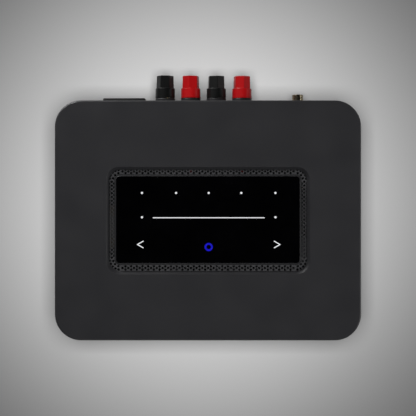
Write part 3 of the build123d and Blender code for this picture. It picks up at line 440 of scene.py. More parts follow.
class EdgeWearAndHighlight(SharedEffect):
    """Where an edge is rounded by wear, and the softened normal there. Moulded plastic also uses
    its edge mask for a painted highlight.
    """

    title = "edge_wear_and_highlight"
    inputs = (EffectSocket("Reach", 0.0006),)
    outputs = (EffectSocket("Edge"), EffectSocket("Soft Normal", kind="NodeSocketVector"))

    @classmethod
    def wire(cls, graph: Graph, given: dict[str, Socket]) -> dict[str, Socket]:
        """Compares the bevelled normal with the surface's own.

        Args:
            graph: The group's graph.
            given: The group's inputs by name.

        Returns:
            What each output shows, by name.
        """
        soft = graph.node("Bevel", samples=4)
        graph.feed(soft.inputs["Radius"], given["Reach"])
        dot = graph.node("VectorMath", operation="DOT_PRODUCT")
        graph.feed(dot.inputs[0], soft.outputs[0])
        graph.feed(dot.inputs[1], graph.normal())
        turned = graph.span(dot.outputs["Value"], 0.995, 0.85)
        patchy = graph.span(graph.noise(graph.place(), 320.0, 3.0, 0.6), 0.38, 0.62)
        return {"Edge": graph.math("MULTIPLY", turned, patchy), "Soft Normal": soft.outputs[0]}


# ------------------------------------------------------------------ finishes
def toned(colour: Rgb, factor: float, lift: float = 0.0) -> Rgb:
    """Makes a lighter or darker version of a colour.

    Args:
        colour: The colour.
        factor: What each channel is multiplied by.
        lift: What is then added to each channel.

    Returns:
        The new colour, with no channel over 1.
    """
    return tuple(min(c * factor + lift, 1.0) for c in colour)


@dataclass(frozen=True)
class Finish:
    """A finish: it makes one material, which every part in it shares."""

    title: str
    made: ClassVar[dict[str, bpy.types.Material]] = {}

    def paint(self, graph: Graph, shader: bpy.types.Node) -> None:
        """Feeds the shader.

        Args:
            graph: The material's graph.
            shader: The material's Principled shader.
        """
        raise NotImplementedError

    def material(self) -> bpy.types.Material:
        """Returns the finish's material, which is built at the first call."""
        if self.title not in Finish.made:
            made = bpy.data.materials.new(self.title)
            made.use_nodes = True
            made.node_tree.nodes.clear()
            graph = Graph(made.node_tree)
            shader = graph.node("BsdfPrincipled")
            output = graph.node("OutputMaterial")
            graph.feed(output.inputs["Surface"], shader.outputs[0])
            self.paint(graph, shader)
            Finish.made[self.title] = made
        return Finish.made[self.title]


@dataclass(frozen=True)
class Moulding(Finish):
    """Moulded plastic or rubber with a fine grain."""

    colour: Rgb = (0.014, 0.014, 0.015)
    roughness: float = 0.5
    grain: float = 0.45 * MM
    relief: float = 0.004 * MM
    dust: float = 0.04
    dust_colour: Rgb = (0.35, 0.33, 0.3)
    smear_size: float = 35 * MM
    smear_polish: float = 0.02
    edge_reach: float = 0.5 * MM
    edge_shine: float = 0.35
    edge_polish: float = 0.25
    specular: float = 0.5

    def paint(self, graph: Graph, shader: bpy.types.Node) -> None:
        """Mixes mottle, dust and rubbed edges into the plastic. The lightened edges are partly
        wear and partly a painted highlight.

        Args:
            graph: The material's graph.
            shader: The material's Principled shader.
        """
        grain = FineGrain.placed(graph, Grain_Size=self.grain)
        marks = HandlingMarks.placed(graph, Smear_Size=self.smear_size)
        dust = SettledDust.placed(graph, Amount=self.dust)["Dust"]
        edges = EdgeWearAndHighlight.placed(graph, Reach=self.edge_reach)
        base = graph.mixed(grain["Mottle"], toned(self.colour, 0.95), toned(self.colour, 1.05))
        # Painted highlight: the edges are lightened, partly as rubbed wear and partly to stand
        # in for the glint along them.
        rub = graph.math("MULTIPLY", edges["Edge"], self.edge_shine)
        base = graph.mixed(rub, base, toned(self.colour, 1.5, 0.004))
        rough = graph.around(grain["Mottle"], 0.0, 1.0, self.roughness, 0.015)
        smear = graph.math("MULTIPLY", marks["Smear"], self.smear_polish)
        worn = graph.math("MULTIPLY", rub, self.edge_polish)
        rough = graph.math("SUBTRACT", graph.math("SUBTRACT", rough, smear), worn)
        graph.surface(shader, graph.mixed(dust, base, self.dust_colour), rough,
                      graph.bump(grain["Height"], self.relief, edges["Soft Normal"]))
        shader.inputs["Specular IOR Level"].default_value = self.specular


@dataclass(frozen=True)
class PrintedGlass(Finish):
    """Clear glass printed black on its back: deep, flat and glossy."""

    colour: Rgb = (0.0002, 0.0002, 0.0003)
    roughness: float = 0.045
    dust: float = 0.001
    dust_colour: Rgb = (0.3, 0.3, 0.3)
    smear_size: float = 22 * MM
    smear_haze: float = 0.035
    hairline_haze: float = 0.06
    hairline_depth: float = 0.0002 * MM
    edge_reach: float = 0.1 * MM
    ior: float = 1.5

    def paint(self, graph: Graph, shader: bpy.types.Node) -> None:
        """Adds faint smears and hairlines to a glossy black.

        Args:
            graph: The material's graph.
            shader: The material's Principled shader.
        """
        marks = HandlingMarks.placed(graph, Smear_Size=self.smear_size)
        dust = SettledDust.placed(graph, Amount=self.dust)["Dust"]
        edges = EdgeWearAndHighlight.placed(graph, Reach=self.edge_reach)
        base = graph.mixed(marks["Smear"], self.colour, toned(self.colour, 1.6))
        rough = graph.math("ADD", graph.math("MULTIPLY", marks["Smear"], self.smear_haze),
                           graph.math("MULTIPLY", marks["Hairline"], self.hairline_haze))
        height = graph.math("MULTIPLY", marks["Hairline"], -1.0)
        graph.surface(shader, graph.mixed(dust, base, self.dust_colour),
                      graph.math("ADD", rough, self.roughness),
                      graph.bump(height, self.hairline_depth, edges["Soft Normal"]))
        shader.inputs["IOR"].default_value = self.ior


@dataclass(frozen=True)
class LightGuide(Finish):
    """A diffusing light guide, lit from below."""

    colour: Rgb = (0.9, 0.92, 1.0)
    glow: float = 0.8
    frost_waves: float = 600.0
    grain: float = 0.15 * MM
    relief: float = 0.001 * MM

    def paint(self, graph: Graph, shader: bpy.types.Node) -> None:
        """Adds a light that is a little uneven, as through frosted plastic.

        Args:
            graph: The material's graph.
            shader: The material's Principled shader.
        """
        cloud = graph.noise(graph.place(), self.frost_waves, 2.0)
        lit = graph.mixed(graph.span(cloud, 0.3, 0.7), toned(self.colour, 0.86), self.colour)
        graph.feed(shader.inputs["Emission Color"], lit)
        shader.inputs["Emission Strength"].default_value = self.glow
        frost = graph.mixed(cloud, toned(self.colour, 0.01, 0.002),
                            toned(self.colour, 0.02, 0.002))
        fine = FineGrain.placed(graph, Grain_Size=self.grain)
        graph.surface(shader, frost, graph.span(cloud, 0.2, 0.8, 0.25, 0.4),
                      graph.bump(fine["Height"], self.relief))


@dataclass(frozen=True)
class PowderCoat(Finish):
    """Painted sheet steel with a faint orange-peel."""

    colour: Rgb = (0.03, 0.03, 0.032)
    steel: Rgb = (0.32, 0.32, 0.33)
    roughness: float = 0.42
    grain: float = 0.3 * MM
    relief: float = 0.006 * MM
    dust: float = 0.06
    dust_colour: Rgb = (0.3, 0.29, 0.27)
    edge_reach: float = 0.12 * MM
    edge_wear: float = 0.3

    def paint(self, graph: Graph, shader: bpy.types.Node) -> None:
        """Adds orange-peel, dust, and bare steel at the rubbed edges.

        Args:
            graph: The material's graph.
            shader: The material's Principled shader.
        """
        grain = FineGrain.placed(graph, Grain_Size=self.grain)
        dust = SettledDust.placed(graph, Amount=self.dust)["Dust"]
        edges = EdgeWearAndHighlight.placed(graph, Reach=self.edge_reach)
        base = graph.mixed(grain["Mottle"], toned(self.colour, 0.85), self.colour)
        bare = graph.math("MULTIPLY", edges["Edge"], self.edge_wear)
        base = graph.mixed(bare, base, self.steel)
        graph.surface(shader, graph.mixed(dust, base, self.dust_colour),
                      graph.around(grain["Height"], 0.3, 0.7, self.roughness, 0.05),
                      graph.bump(grain["Height"], self.relief, edges["Soft Normal"]), bare)


class Lay(Enum):
    """Which way a metal part's tool marks run, as noise waves for each metre."""

    TURNED = (40.0, 9000.0, 40.0)
    ALONG = (6000.0, 60.0, 6000.0)
    STAMPED = (1800.0, 1800.0, 1800.0)


@dataclass(frozen=True)
class Metal(Finish):
    """Plated or bare metal with the tool marks of how it was made."""

    colour: Rgb = (0.75, 0.55, 0.2)
    tarnish: Rgb = (0.45, 0.3, 0.1)
    roughness: float = 0.28
    lay: Lay = Lay.STAMPED
    relief: float = 0.002 * MM
    patch_waves: float = 260.0
    patch_haze: float = 0.15
    edge_reach: float = 0.12 * MM
    edge_shine: float = 0.5

    def paint(self, graph: Graph, shader: bpy.types.Node) -> None:
        """Adds tool marks, tarnish in patches and brighter rubbed edges.

        Args:
            graph: The material's graph.
            shader: The material's Principled shader.
        """
        lines = graph.noise(graph.scaled(graph.place(), self.lay.value), 1.0, 3.0, 0.6)
        cloud = graph.noise(graph.place(), self.patch_waves, 4.0, 0.6)
        patches = graph.span(cloud, 0.4, 0.75)
        edges = EdgeWearAndHighlight.placed(graph, Reach=self.edge_reach)
        base = graph.mixed(patches, self.colour, self.tarnish)
        rub = graph.math("MULTIPLY", edges["Edge"], self.edge_shine)
        rough = graph.around(lines, 0.25, 0.75, self.roughness, 0.07)
        worn = graph.math("MULTIPLY", patches, self.patch_haze)
        graph.surface(shader, graph.mixed(rub, base, toned(self.colour, 1.15)),
                      graph.math("ADD", rough, worn),
                      graph.bump(lines, self.relief, edges["Soft Normal"]), 1.0)


@dataclass(frozen=True)
class SolderMask(Finish):
    """A circuit board: solder mask over copper tracks, with bare laminate edges."""

    colour: Rgb = (0.004, 0.005, 0.005)
    track: Rgb = (0.009, 0.012, 0.011)
    pitch: float = 2.4 * MM
    tin: Rgb = (0.6, 0.6, 0.58)
    laminate: tuple[Rgb, Rgb] = ((0.22, 0.2, 0.1), (0.34, 0.3, 0.16))
    cells_per_hole: float = 0.35
    bands_per_cell: float = 4.0
    relief: float = 0.03 * MM

    def cells(self, graph: Graph, flat: Socket, scale: float, distance: str) -> Socket:
        """Adds a cell pattern.

        Args:
            graph: The material's graph.
            flat: The point's place in plan.
            scale: The cells for each metre.
            distance: How the distance in a cell is measured.

        Returns:
            The distance from the middle of the cell.
        """
        made = graph.node("TexVoronoi", distance=distance, feature="F1")
        graph.feed(made.inputs["Vector"], flat)
        made.inputs["Scale"].default_value = scale
        return made.outputs["Distance"]

    def paint(self, graph: Graph, shader: bpy.types.Node) -> None:
        """Draws tracks with a cell pattern, tinned holes, and pale cut edges.

        Args:
            graph: The material's graph.
            shader: The material's Principled shader.
        """
        place = graph.place()
        flat = graph.scaled(place, (1.0, 1.0, 0.0))
        blocks = self.cells(graph, flat, self.cells_per_hole / self.pitch, "MANHATTAN")
        bands = graph.math("FRACT", graph.math("MULTIPLY", blocks, self.bands_per_cell))
        tracks = graph.math("MULTIPLY", graph.span(bands, 0.32, 0.38),
                            graph.span(bands, 0.68, 0.62))
        rim = graph.span(self.cells(graph, flat, 1.0 / self.pitch, "EUCLIDEAN"), 0.17, 0.13)
        tinned = graph.mixed(rim, graph.mixed(tracks, self.colour, self.track), self.tin)
        up = graph.axes(graph.normal())[2]
        side = graph.span(graph.math("ABSOLUTE", up), 0.7, 0.3)
        fibre = graph.noise(graph.scaled(place, (300.0, 300.0, 6000.0)), 1.0, 2.0)
        cut = graph.mixed(fibre, *self.laminate)
        graph.surface(shader, graph.mixed(side, tinned, cut),
                      graph.span(tracks, 0.0, 1.0, 0.34, 0.27),
                      graph.bump(graph.math("ADD", tracks, rim), self.relief),
                      graph.math("MULTIPLY", rim, graph.math("SUBTRACT", 1.0, side)))


@dataclass(frozen=True)
class FlexFilm(Finish):
    """An amber film cable with its conductors showing through."""

    colour: Rgb = (0.3, 0.12, 0.02)
    copper: Rgb = (0.5, 0.22, 0.06)
    pitch: float = 1.0 * MM
    relief: float = 0.03 * MM
    coat: float = 0.5

    def paint(self, graph: Graph, shader: bpy.types.Node) -> None:
        """Draws straight conductors across the cable's width.

        Args:
            graph: The material's graph.
            shader: The material's Principled shader.
        """
        place = graph.place()
        turns = graph.math("FRACT", graph.math("DIVIDE", graph.axes(place)[0], self.pitch))
        stripe = graph.math("MULTIPLY", graph.span(turns, 0.2, 0.26),
                            graph.span(turns, 0.8, 0.74))
        cloud = graph.noise(place, 150.0, 3.0)
        film = graph.mixed(cloud, toned(self.colour, 0.7), self.colour)
        graph.surface(shader, graph.mixed(stripe, film, self.copper),
                      graph.span(cloud, 0.2, 0.8, 0.2, 0.34),
                      graph.bump(stripe, self.relief))
        shader.inputs["Coat Weight"].default_value = self.coat


@dataclass(frozen=True)
class Insulation(Finish):
    """Rubbery wire insulation, in one colour or in two that alternate along X."""

    colour: Rgb = (0.02, 0.02, 0.02)
    other: Rgb = (0.07, 0.005, 0.005)
    first_x: float = 0.0
    pitch: float = 0.0
    relief: float = 0.01 * MM

    def paint(self, graph: Graph, shader: bpy.types.Node) -> None:
        """Picks each lead's colour and gives it a slightly drawn surface.

        Args:
            graph: The material's graph.
            shader: The material's Principled shader.
        """
        place = graph.place()
        cloud = graph.noise(place, 180.0, 3.0)
        choice = cloud
        if self.pitch:
            across = graph.math("SUBTRACT", graph.axes(place)[0],
                                self.first_x - self.pitch / 2)
            turns = graph.math("FRACT", graph.math("DIVIDE", across, 2 * self.pitch))
            choice = graph.math("GREATER_THAN", turns, 0.5)
        base = graph.mixed(choice, self.colour, self.other)
        shade = graph.mixed(graph.span(cloud, 0.3, 0.7), (0.8, 0.8, 0.8), (1.0, 1.0, 1.0))
        drawn = graph.noise(graph.scaled(place, (2500.0, 120.0, 2500.0)), 1.0, 2.0)
        graph.surface(shader, graph.mixed(1.0, base, shade, "MULTIPLY"),
                      graph.span(cloud, 0.2, 0.8, 0.4, 0.52),
                      graph.bump(drawn, self.relief))


@dataclass(frozen=True)
class Anodised(Finish):
    """Black anodised aluminium with the lines of its extrusion along Y."""

    colour: Rgb = (0.035, 0.035, 0.037)
    sawn: tuple[Rgb, Rgb] = ((0.5, 0.5, 0.51), (0.72, 0.72, 0.73))
    rubbed: Rgb = (0.45, 0.45, 0.46)
    roughness: float = 0.36
    relief: float = 0.006 * MM
    edge_reach: float = 0.15 * MM
    edge_wear: float = 0.5

    def paint(self, graph: Graph, shader: bpy.types.Node) -> None:
        """Adds extrusion lines, and bare metal where the saw cut the ends.

        Args:
            graph: The material's graph.
            shader: The material's Principled shader.
        """
        place = graph.place()
        lines = graph.noise(graph.scaled(place, (5000.0, 25.0, 5000.0)), 1.0, 3.0, 0.6)
        saw = graph.noise(graph.scaled(place, (200.0, 200.0, 7000.0)), 1.0, 2.0)
        edges = EdgeWearAndHighlight.placed(graph, Reach=self.edge_reach)
        facing = graph.axes(graph.normal())[1]
        end = graph.span(graph.math("ABSOLUTE", facing), 0.9, 0.98)
        black = graph.mixed(lines, toned(self.colour, 0.75), self.colour)
        base = graph.mixed(end, black, graph.mixed(saw, *self.sawn))
        rub = graph.math("MULTIPLY", edges["Edge"], self.edge_wear)
        graph.surface(shader, graph.mixed(rub, base, self.rubbed),
                      graph.around(lines, 0.3, 0.7, self.roughness, 0.06),
                      graph.bump(graph.mixed(end, lines, saw), self.relief,
                                 edges["Soft Normal"]),
                      graph.span(graph.math("MAXIMUM", end, rub), 0.0, 1.0, 0.35, 1.0))


@dataclass(frozen=True)
class CanSleeve(Finish):
    """A reservoir capacitor: shrink sleeve with a pale stripe, and a bare top."""

    colour: Rgb = (0.008, 0.012, 0.03)
    stripe: Rgb = (0.42, 0.43, 0.45)
    metal: tuple[Rgb, Rgb] = ((0.62, 0.62, 0.63), (0.82, 0.82, 0.83))
    relief: float = 0.02 * MM

    def paint(self, graph: Graph, shader: bpy.types.Node) -> None:
        """Puts the stripe on the side that looks along X, and bare metal on top.

        Args:
            graph: The material's graph.
            shader: The material's Principled shader.
        """
        place = graph.place()
        normal = graph.axes(graph.normal())
        cloud = graph.noise(place, 220.0, 3.0)
        sleeve = graph.mixed(cloud, self.colour, toned(self.colour, 1.6))
        sleeve = graph.mixed(graph.span(normal[0], 0.92, 0.94), sleeve, self.stripe)
        spin = graph.noise(graph.scaled(place, (900.0, 900.0, 900.0)), 1.0, 2.0)
        top = graph.span(normal[2], 0.985, 0.995)
        graph.surface(shader, graph.mixed(top, sleeve, graph.mixed(spin, *self.metal)),
                      graph.span(cloud, 0.2, 0.8, 0.22, 0.34),
                      graph.bump(cloud, self.relief), top)


@dataclass(frozen=True)
class WoundCore(Finish):
    """Dull grey ferrite halves round a coil under dark tape."""

    core: Rgb = (0.035, 0.034, 0.034)
    tape: Rgb = (0.03, 0.022, 0.012)
    centre_y: float = 0.0
    half_core: float = 8.0 * MM
    overlap: float = 0.05 * MM
    tape_pitch: float = 1.7 * MM
    relief: float = 0.05 * MM

    def paint(self, graph: Graph, shader: bpy.types.Node) -> None:
        """Keeps the ferrite to the core's depth and laps the tape beyond it.

        Args:
            graph: The material's graph.
            shader: The material's Principled shader.
        """
        place = graph.place()
        axes = graph.axes(place)
        across = graph.math("ABSOLUTE", graph.math("SUBTRACT", axes[1], self.centre_y))
        coil = graph.math("GREATER_THAN", across, self.half_core + self.overlap)
        pores = graph.noise(place, 1500.0, 3.0, 0.65)
        ferrite = graph.mixed(pores, toned(self.core, 0.7), self.core)
        laps = graph.math("FRACT", graph.math("DIVIDE", axes[2], self.tape_pitch))
        lap = graph.span(laps, 0.0, 0.12)
        tape = graph.mixed(lap, toned(self.tape, 0.55), self.tape)
        graph.surface(shader, graph.mixed(coil, ferrite, tape),
                      graph.span(coil, 0.0, 1.0, 0.62, 0.3),
                      graph.bump(graph.mixed(coil, pores, lap), self.relief))


@dataclass(frozen=True)
class PaintedLightPoolFloor(Finish):
    """The studio floor, with a painted pool of light: pale in the middle, with a smooth fade to
    a darker rim.
    """

    centre: tuple[float, float] = (0.0, 0.0)
    pale: float = 0.71
    dark: float = 0.14
    fade_start: float = 30 * MM
    fade_end: float = 270 * MM
    paper_waves: float = 900.0
    relief: float = 0.02 * MM
    specular: float = 0.1

    def paint(self, graph: Graph, shader: bpy.types.Node) -> None:
        """Paints a pool of light: fades the floor's shade darker with the distance from its
        centre.

        Args:
            graph: The material's graph.
            shader: The material's Principled shader.
        """
        made = graph.node("VectorMath", operation="DISTANCE")
        graph.feed(made.inputs[0], graph.scaled(graph.place(), (1.0, 1.0, 0.0)))
        made.inputs[1].default_value = (*self.centre, 0.0)
        # Painted light: the pale middle and the darker rim stand in for a pool of light falling
        # on the floor.
        fade = graph.span(made.outputs["Value"], self.fade_start, self.fade_end, smooth=True)
        shade = graph.mixed(fade, (self.pale,) * 3, (self.dark,) * 3)
        grain = graph.noise(graph.place(), self.paper_waves, 3.0)
        paper = graph.mixed(grain, (0.985, 0.985, 0.985), (1.0, 1.0, 1.0))
        graph.surface(shader, graph.mixed(1.0, shade, paper, "MULTIPLY"),
                      graph.span(grain, 0.0, 1.0, 0.85, 0.95),
                      graph.bump(grain, self.relief))
        shader.inputs["Specular IOR Level"].default_value = self.specular


# ------------------------------------------------------------------ mesh work
class MeshWork:
    """Collects solids in one mesh and turns it into a piece."""

    def __init__(self) -> None:
        """Starts with an empty mesh."""
        self.mesh = bmesh.new()

    def chip(self, centre: Vector, size: Vector, chamfer: float, slot: int = 0,
             turn: float = 0.0) -> None:
        """Adds a box with chamfered edges.

        Args:
            centre: Its middle.
            size: Its width, depth and height.
            chamfer: How much is taken off each edge.
            slot: Its material slot.
            turn: Its turn about Z, in radians.
        """
        place = Matrix.Translation(centre) @ Matrix.Rotation(turn, 4, "Z")
        place = place @ Matrix.Diagonal((*size, 1.0))
        made = bmesh.ops.create_cube(self.mesh, size=1.0, matrix=place)
        edges = list({e for v in made["verts"] for e in v.link_edges})
        cut = bmesh.ops.bevel(self.mesh, geom=edges, offset=chamfer, segments=2,
                              profile=0.5, affect="EDGES")
        for face in {f for v in cut["verts"] for f in v.link_faces}:
            face.material_index = slot

    def strip(self, path: list[Vector], width: float, thick: float,
              side: Vector, slot: int = 0) -> None:
        """Adds a flat strip that follows a path.

        Args:
            path: The middle of the strip, point by point.
            width: Its width along side.
            thick: Its thickness.
            side: The unit direction of its width.
            slot: Its material slot.
        """
        rings = []
        for i, point in enumerate(path):
            before = path[max(i - 1, 0)]
            after = path[min(i + 1, len(path) - 1)]
            along = (after - before).normalized()
            out = side.cross(along) * thick / 2
            wide = side * width / 2
            places = (wide + out, wide - out, -wide - out, -wide + out)
            rings.append([self.mesh.verts.new(point + p) for p in places])
        faces = [self.mesh.faces.new(rings[0][::-1]), self.mesh.faces.new(rings[-1])]
        for first, second in zip(rings, rings[1:]):
            for k in range(4):
                n = (k + 1) % 4
                faces.append(self.mesh.faces.new((first[k], first[n], second[n], second[k])))
        for face in faces:
            face.material_index = slot

    def piece(self, name: str, finishes: list[Finish], slot: str | None = None) -> None:
        """Turns the mesh into a piece that rides on the case.

        Args:
            name: The piece's name.
            finishes: Its finishes, in the order of its material slots.
            slot: Not used.
        """
        bmesh.ops.recalc_face_normals(self.mesh, faces=self.mesh.faces)
        data = bpy.data.meshes.new(name)
        self.mesh.to_mesh(data)
        self.mesh.free()
        made = bpy.data.objects.new(name, data)
        bpy.context.scene.collection.objects.link(made)
        for finish in finishes:
            data.materials.append(finish.material())
        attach(made, BODY)
        log.info("piece %s: %d faces on %s", name, len(data.polygons), BODY)


def spread(count: int, pitch: float) -> list[float]:
    """Spaces places evenly round 0.

    Args:
        count: How many places there are.
        pitch: The distance from one to the next.

    Returns:
        The places, from the lowest.
    """
    return [(i - (count - 1) / 2) * pitch for i in range(count)]


class FreeSpace:
    """Tells how far a point is from the solids near it."""

    def __init__(self, nodes: list[bpy.types.Object]) -> None:
        """Reads the meshes of the solids.

        Args:
            nodes: The solids' objects.
        """
        self.trees = [
            BVHTree.FromPolygons(
                [v.co for v in o.data.vertices], [p.vertices for p in o.data.polygons]
            )
            for o in nodes
        ]

    def room(self, point: Vector) -> float:
        """Gives the distance from a point to the nearest solid's surface."""
        near = [tree.find_nearest(point)[3] for tree in self.trees]
        return min(d for d in near if d is not None)


# ------------------------------------------------------------------ sub-assemblies
@dataclass
class SubAssembly:
    """A group of parts of the amplifier: it builds fine pieces and dresses nodes."""

    nodes: dict[str, bpy.types.Object]

    def cover(self, finish: Finish, *names: str) -> None:
        """Puts a finish on CAD nodes.

        Args:
            finish: The finish.
            names: The nodes' names.
        """
        for name in names:
            slots = self.nodes[name].data.materials
            slots.clear()
            slots.append(finish.material())
            log.info("node %s: %s", name, finish.title)

    def build(self) -> None:
        """Builds the fine pieces. A group without any builds none."""

    def dress(self) -> None:
        """Puts a finish on each node of the group."""
        raise NotImplementedError


@dataclass
class Casing(SubAssembly):
    """The lid and walls, the base, the rear panel, the feet and the screws."""

    grain: float = 0.45 * MM

    def dress(self) -> None:
        """Dresses the mouldings in black satin plastic and the feet in rubber."""
        self.cover(Moulding("case_satin", (0.0119, 0.0119, 0.0131), 0.42, self.grain, dust=0.01),
                   "top_shell")
        self.cover(Moulding("base_satin", (0.010, 0.010, 0.011), 0.55, self.grain),
                   "base_tray")
        self.cover(Moulding("panel_matt", (0.009, 0.009, 0.010), 0.58, 0.6 * MM,
                            0.008 * MM), "rear_panel")
        self.cover(Moulding("foot_rubber", (0.012, 0.012, 0.012), 0.8, 0.35 * MM,
                            0.012 * MM, dust=0.0),
                   *(name for name in self.nodes if name.startswith("foot_")))
        black_zinc = Metal("black_zinc", (0.10, 0.10, 0.105), (0.05, 0.05, 0.052), 0.36)
        self.cover(black_zinc, "case_screws", "board_screws", "panel_screws")


@dataclass
class TouchPanel(SubAssembly):
    """The glass, its carrier, the air grille and the lit marks."""

    white: Rgb = (0.93, 0.94, 0.97)
    blue: Rgb = (0.006, 0.005, 0.54)

    def dress(self) -> None:
        """Dresses the glass in gloss black and lights the marks."""
        self.cover(PrintedGlass("printed_glass"), "touch_glass")
        self.cover(Moulding("carrier_satin", (0.013, 0.013, 0.014), 0.42, 0.4 * MM),
                   "glass_carrier")
        self.cover(PowderCoat("grille_coat"), "vent_grille")
        self.cover(LightGuide("white_light", self.white, 0.9),
                   "preset_windows", "volume_windows", "skip_windows")
        self.cover(LightGuide("blue_light", self.blue, 1.0), "status_ring_window")
        self.cover(SolderMask("touch_laminate"), "touch_board")
        self.cover(FlexFilm("amber_film"), "touch_ribbon")


@dataclass
class SpeakerTerminals(SubAssembly):
    """The four binding posts with their collars, washers and screw caps."""

    count: int = 4
    black: Rgb = (0.0025, 0.0027, 0.0027)
    red: Rgb = (0.235, 0.003, 0.004)

    def dress(self) -> None:
        """Dresses the caps in black and red, and the metal in gold and nickel."""
        # The caps' wider edge reach spreads their lightened edges, which are partly a painted
        # highlight.
        caps = (
            Moulding("black_cap", self.black, 0.4, 0.6 * MM, 0.002 * MM, dust=0.004,
                     edge_reach=0.35 * MM, specular=0.3),
            Moulding("red_cap", self.red, 0.36, 0.6 * MM, 0.002 * MM, dust=0.003,
                     edge_reach=0.35 * MM, specular=0.3),
        )
        collar = Moulding("collar_matt", (0.008, 0.008, 0.009), 0.5, 0.4 * MM)
        gold = Metal("gold_plate", (0.78, 0.56, 0.22), (0.55, 0.37, 0.13), 0.24, Lay.TURNED)
        nickel = Metal("nickel_plate", (0.62, 0.60, 0.56), (0.42, 0.40, 0.36), 0.26,
                       Lay.TURNED)
        for number in range(1, self.count + 1):
            self.cover(caps[(number - 1) % 2], f"post_{number}_cap")
            self.cover(collar, f"post_{number}_collar")
            self.cover(gold, f"post_{number}_stud")
            self.cover(nickel, f"post_{number}_washer")
        self.cover(nickel, "post_nuts")
        low, high = (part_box(f"post_{n}_stud") for n in (1, 2))
        first_x = (low[0].x + low[1].x) / 2
        pitch = (high[0].x + high[1].x) / 2 - first_x
        self.cover(Insulation("lead_insulation", first_x=first_x, pitch=pitch),
                   "speaker_leads")


@dataclass(frozen=True)
class ContactRow:
    """The sizes of a row of flat contacts on a socket's tongue."""

    count: int
    pitch: float
    width: float
    setback: float
    length: float = 6.0 * MM
    thickness: float = 0.12 * MM
    chamfer: float = 0.03 * MM


@dataclass
class RearSockets(SubAssembly):
    """The mains inlet and the signal sockets, with their fine contacts.

    The bends of a network wire are steps out and up from its root, in millimetres.
    """

    wires: int = 8
    wire_pitch: float = 1.02 * MM
    wire_width: float = 0.45 * MM
    wire_thickness: float = 0.3 * MM
    wire_root_depth: float = 13.0 * MM
    wire_root_height: float = 3.0 * MM
    wire_bends: tuple[tuple[float, float], ...] = (
        (5.4, 0.25), (4.2, 0.3), (3.2, 1.0), (1.2, 2.6), (0.4, 3.1), (0.1, 3.2),
    )
    data_row: ContactRow = ContactRow(4, 2.3 * MM, 1.0 * MM, 7.4 * MM)
    data_face_drop: float = 2.75 * MM
    display_row: ContactRow = ContactRow(10, 1.0 * MM, 0.4 * MM, 5.6 * MM)
    display_half_tongue: float = 0.6 * MM

    def network_contacts(self, finish: Finish) -> None:
        """Builds the spring wires that reach up from the contact block.

        Args:
            finish: The wires' finish.
        """
        low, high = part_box("network_socket")
        work = MeshWork()
        middle = (low.x + high.x) / 2
        bottom = low.z + self.wire_root_height
        back = high.y - self.wire_root_depth
        for offset in spread(self.wires, self.wire_pitch):
            path = [Vector((middle + offset, back + out * MM, bottom + up * MM))
                    for out, up in self.wire_bends]
            work.strip(path, self.wire_width, self.wire_thickness, Vector((1, 0, 0)))
        work.piece("network_contacts", [finish], "gold_plate")

    def tongue_contacts(self, name: str, socket: str, row: ContactRow, height: float,
                        finish: Finish) -> None:
        """Builds the flat contacts on one face of a socket's tongue.

        Args:
            name: The piece's name.
            socket: The socket's node.
            row: The contacts' sizes.
            height: The height of the contacts' middle above the floor.
            finish: Their finish.
        """
        low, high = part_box(socket)
        middle = (low.x + high.x) / 2
        size = Vector((row.width, row.length, row.thickness))
        work = MeshWork()
        for offset in spread(row.count, row.pitch):
            centre = Vector((middle + offset, high.y - row.setback, height))
            work.chip(centre, size, row.chamfer)
        work.piece(name, [finish], "gold_plate")

    def build(self) -> None:
        """Builds the contacts of the network, data and display sockets."""
        gold = Metal("contact_gold", (0.8, 0.58, 0.24), (0.6, 0.42, 0.16), 0.22)
        self.network_contacts(gold)
        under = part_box("usb_socket")[1].z - self.data_face_drop - self.data_row.thickness / 2
        self.tongue_contacts("data_contacts", "usb_socket", self.data_row, under, gold)
        low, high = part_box("hdmi_socket")
        middle = (low.z + high.z) / 2
        away = self.display_half_tongue + self.display_row.thickness / 2
        for side, height in (("upper", middle + away), ("lower", middle - away)):
            self.tongue_contacts(f"display_contacts_{side}", "hdmi_socket",
                                 self.display_row, height, gold)

    def dress(self) -> None:
        """Dresses the sockets in tinned steel, gold and black plastic."""
        self.cover(Moulding("inlet_black", (0.008, 0.008, 0.008), 0.48, 0.5 * MM),
                   "mains_inlet")
        self.cover(Metal("inlet_nickel", (0.62, 0.59, 0.52), (0.46, 0.42, 0.34), 0.25,
                         Lay.ALONG), "inlet_pins")
        self.cover(Insulation("mains_insulation", (0.10, 0.04, 0.018), (0.13, 0.05, 0.022)),
                   "mains_leads")
        # Painted reflection: this plate's metal and its near-black tarnish colour are darker
        # than real plating, standing in for the dark surroundings that it reflects.
        self.cover(Metal("jack_plate", (0.42, 0.36, 0.25), (0.10, 0.085, 0.06), 0.24,
                         Lay.TURNED), "sub_jack_shell")
        self.cover(Metal("jack_contact", (0.78, 0.58, 0.26), (0.55, 0.4, 0.17), 0.24,
                         Lay.TURNED), "sub_jack_contact")
        self.cover(Moulding("socket_black", (0.009, 0.009, 0.009), 0.46, 0.4 * MM),
                   "sub_jack_core", "socket_inserts", "line_in_jack", "trigger_jack")
        self.cover(Metal("tinned_steel", (0.58, 0.58, 0.58), (0.42, 0.42, 0.41), 0.32),
                   "network_socket", "usb_socket", "hdmi_socket")


class PartKind(Enum):
    """A small part's size in millimetres, and the slot of its body's finish."""

    CAPACITOR = ((1.3, 1.2, 0.9), 0)
    RESISTOR = ((1.4, 1.2, 0.5), 1)
    DIODE = ((2.2, 1.6, 1.1), 1)


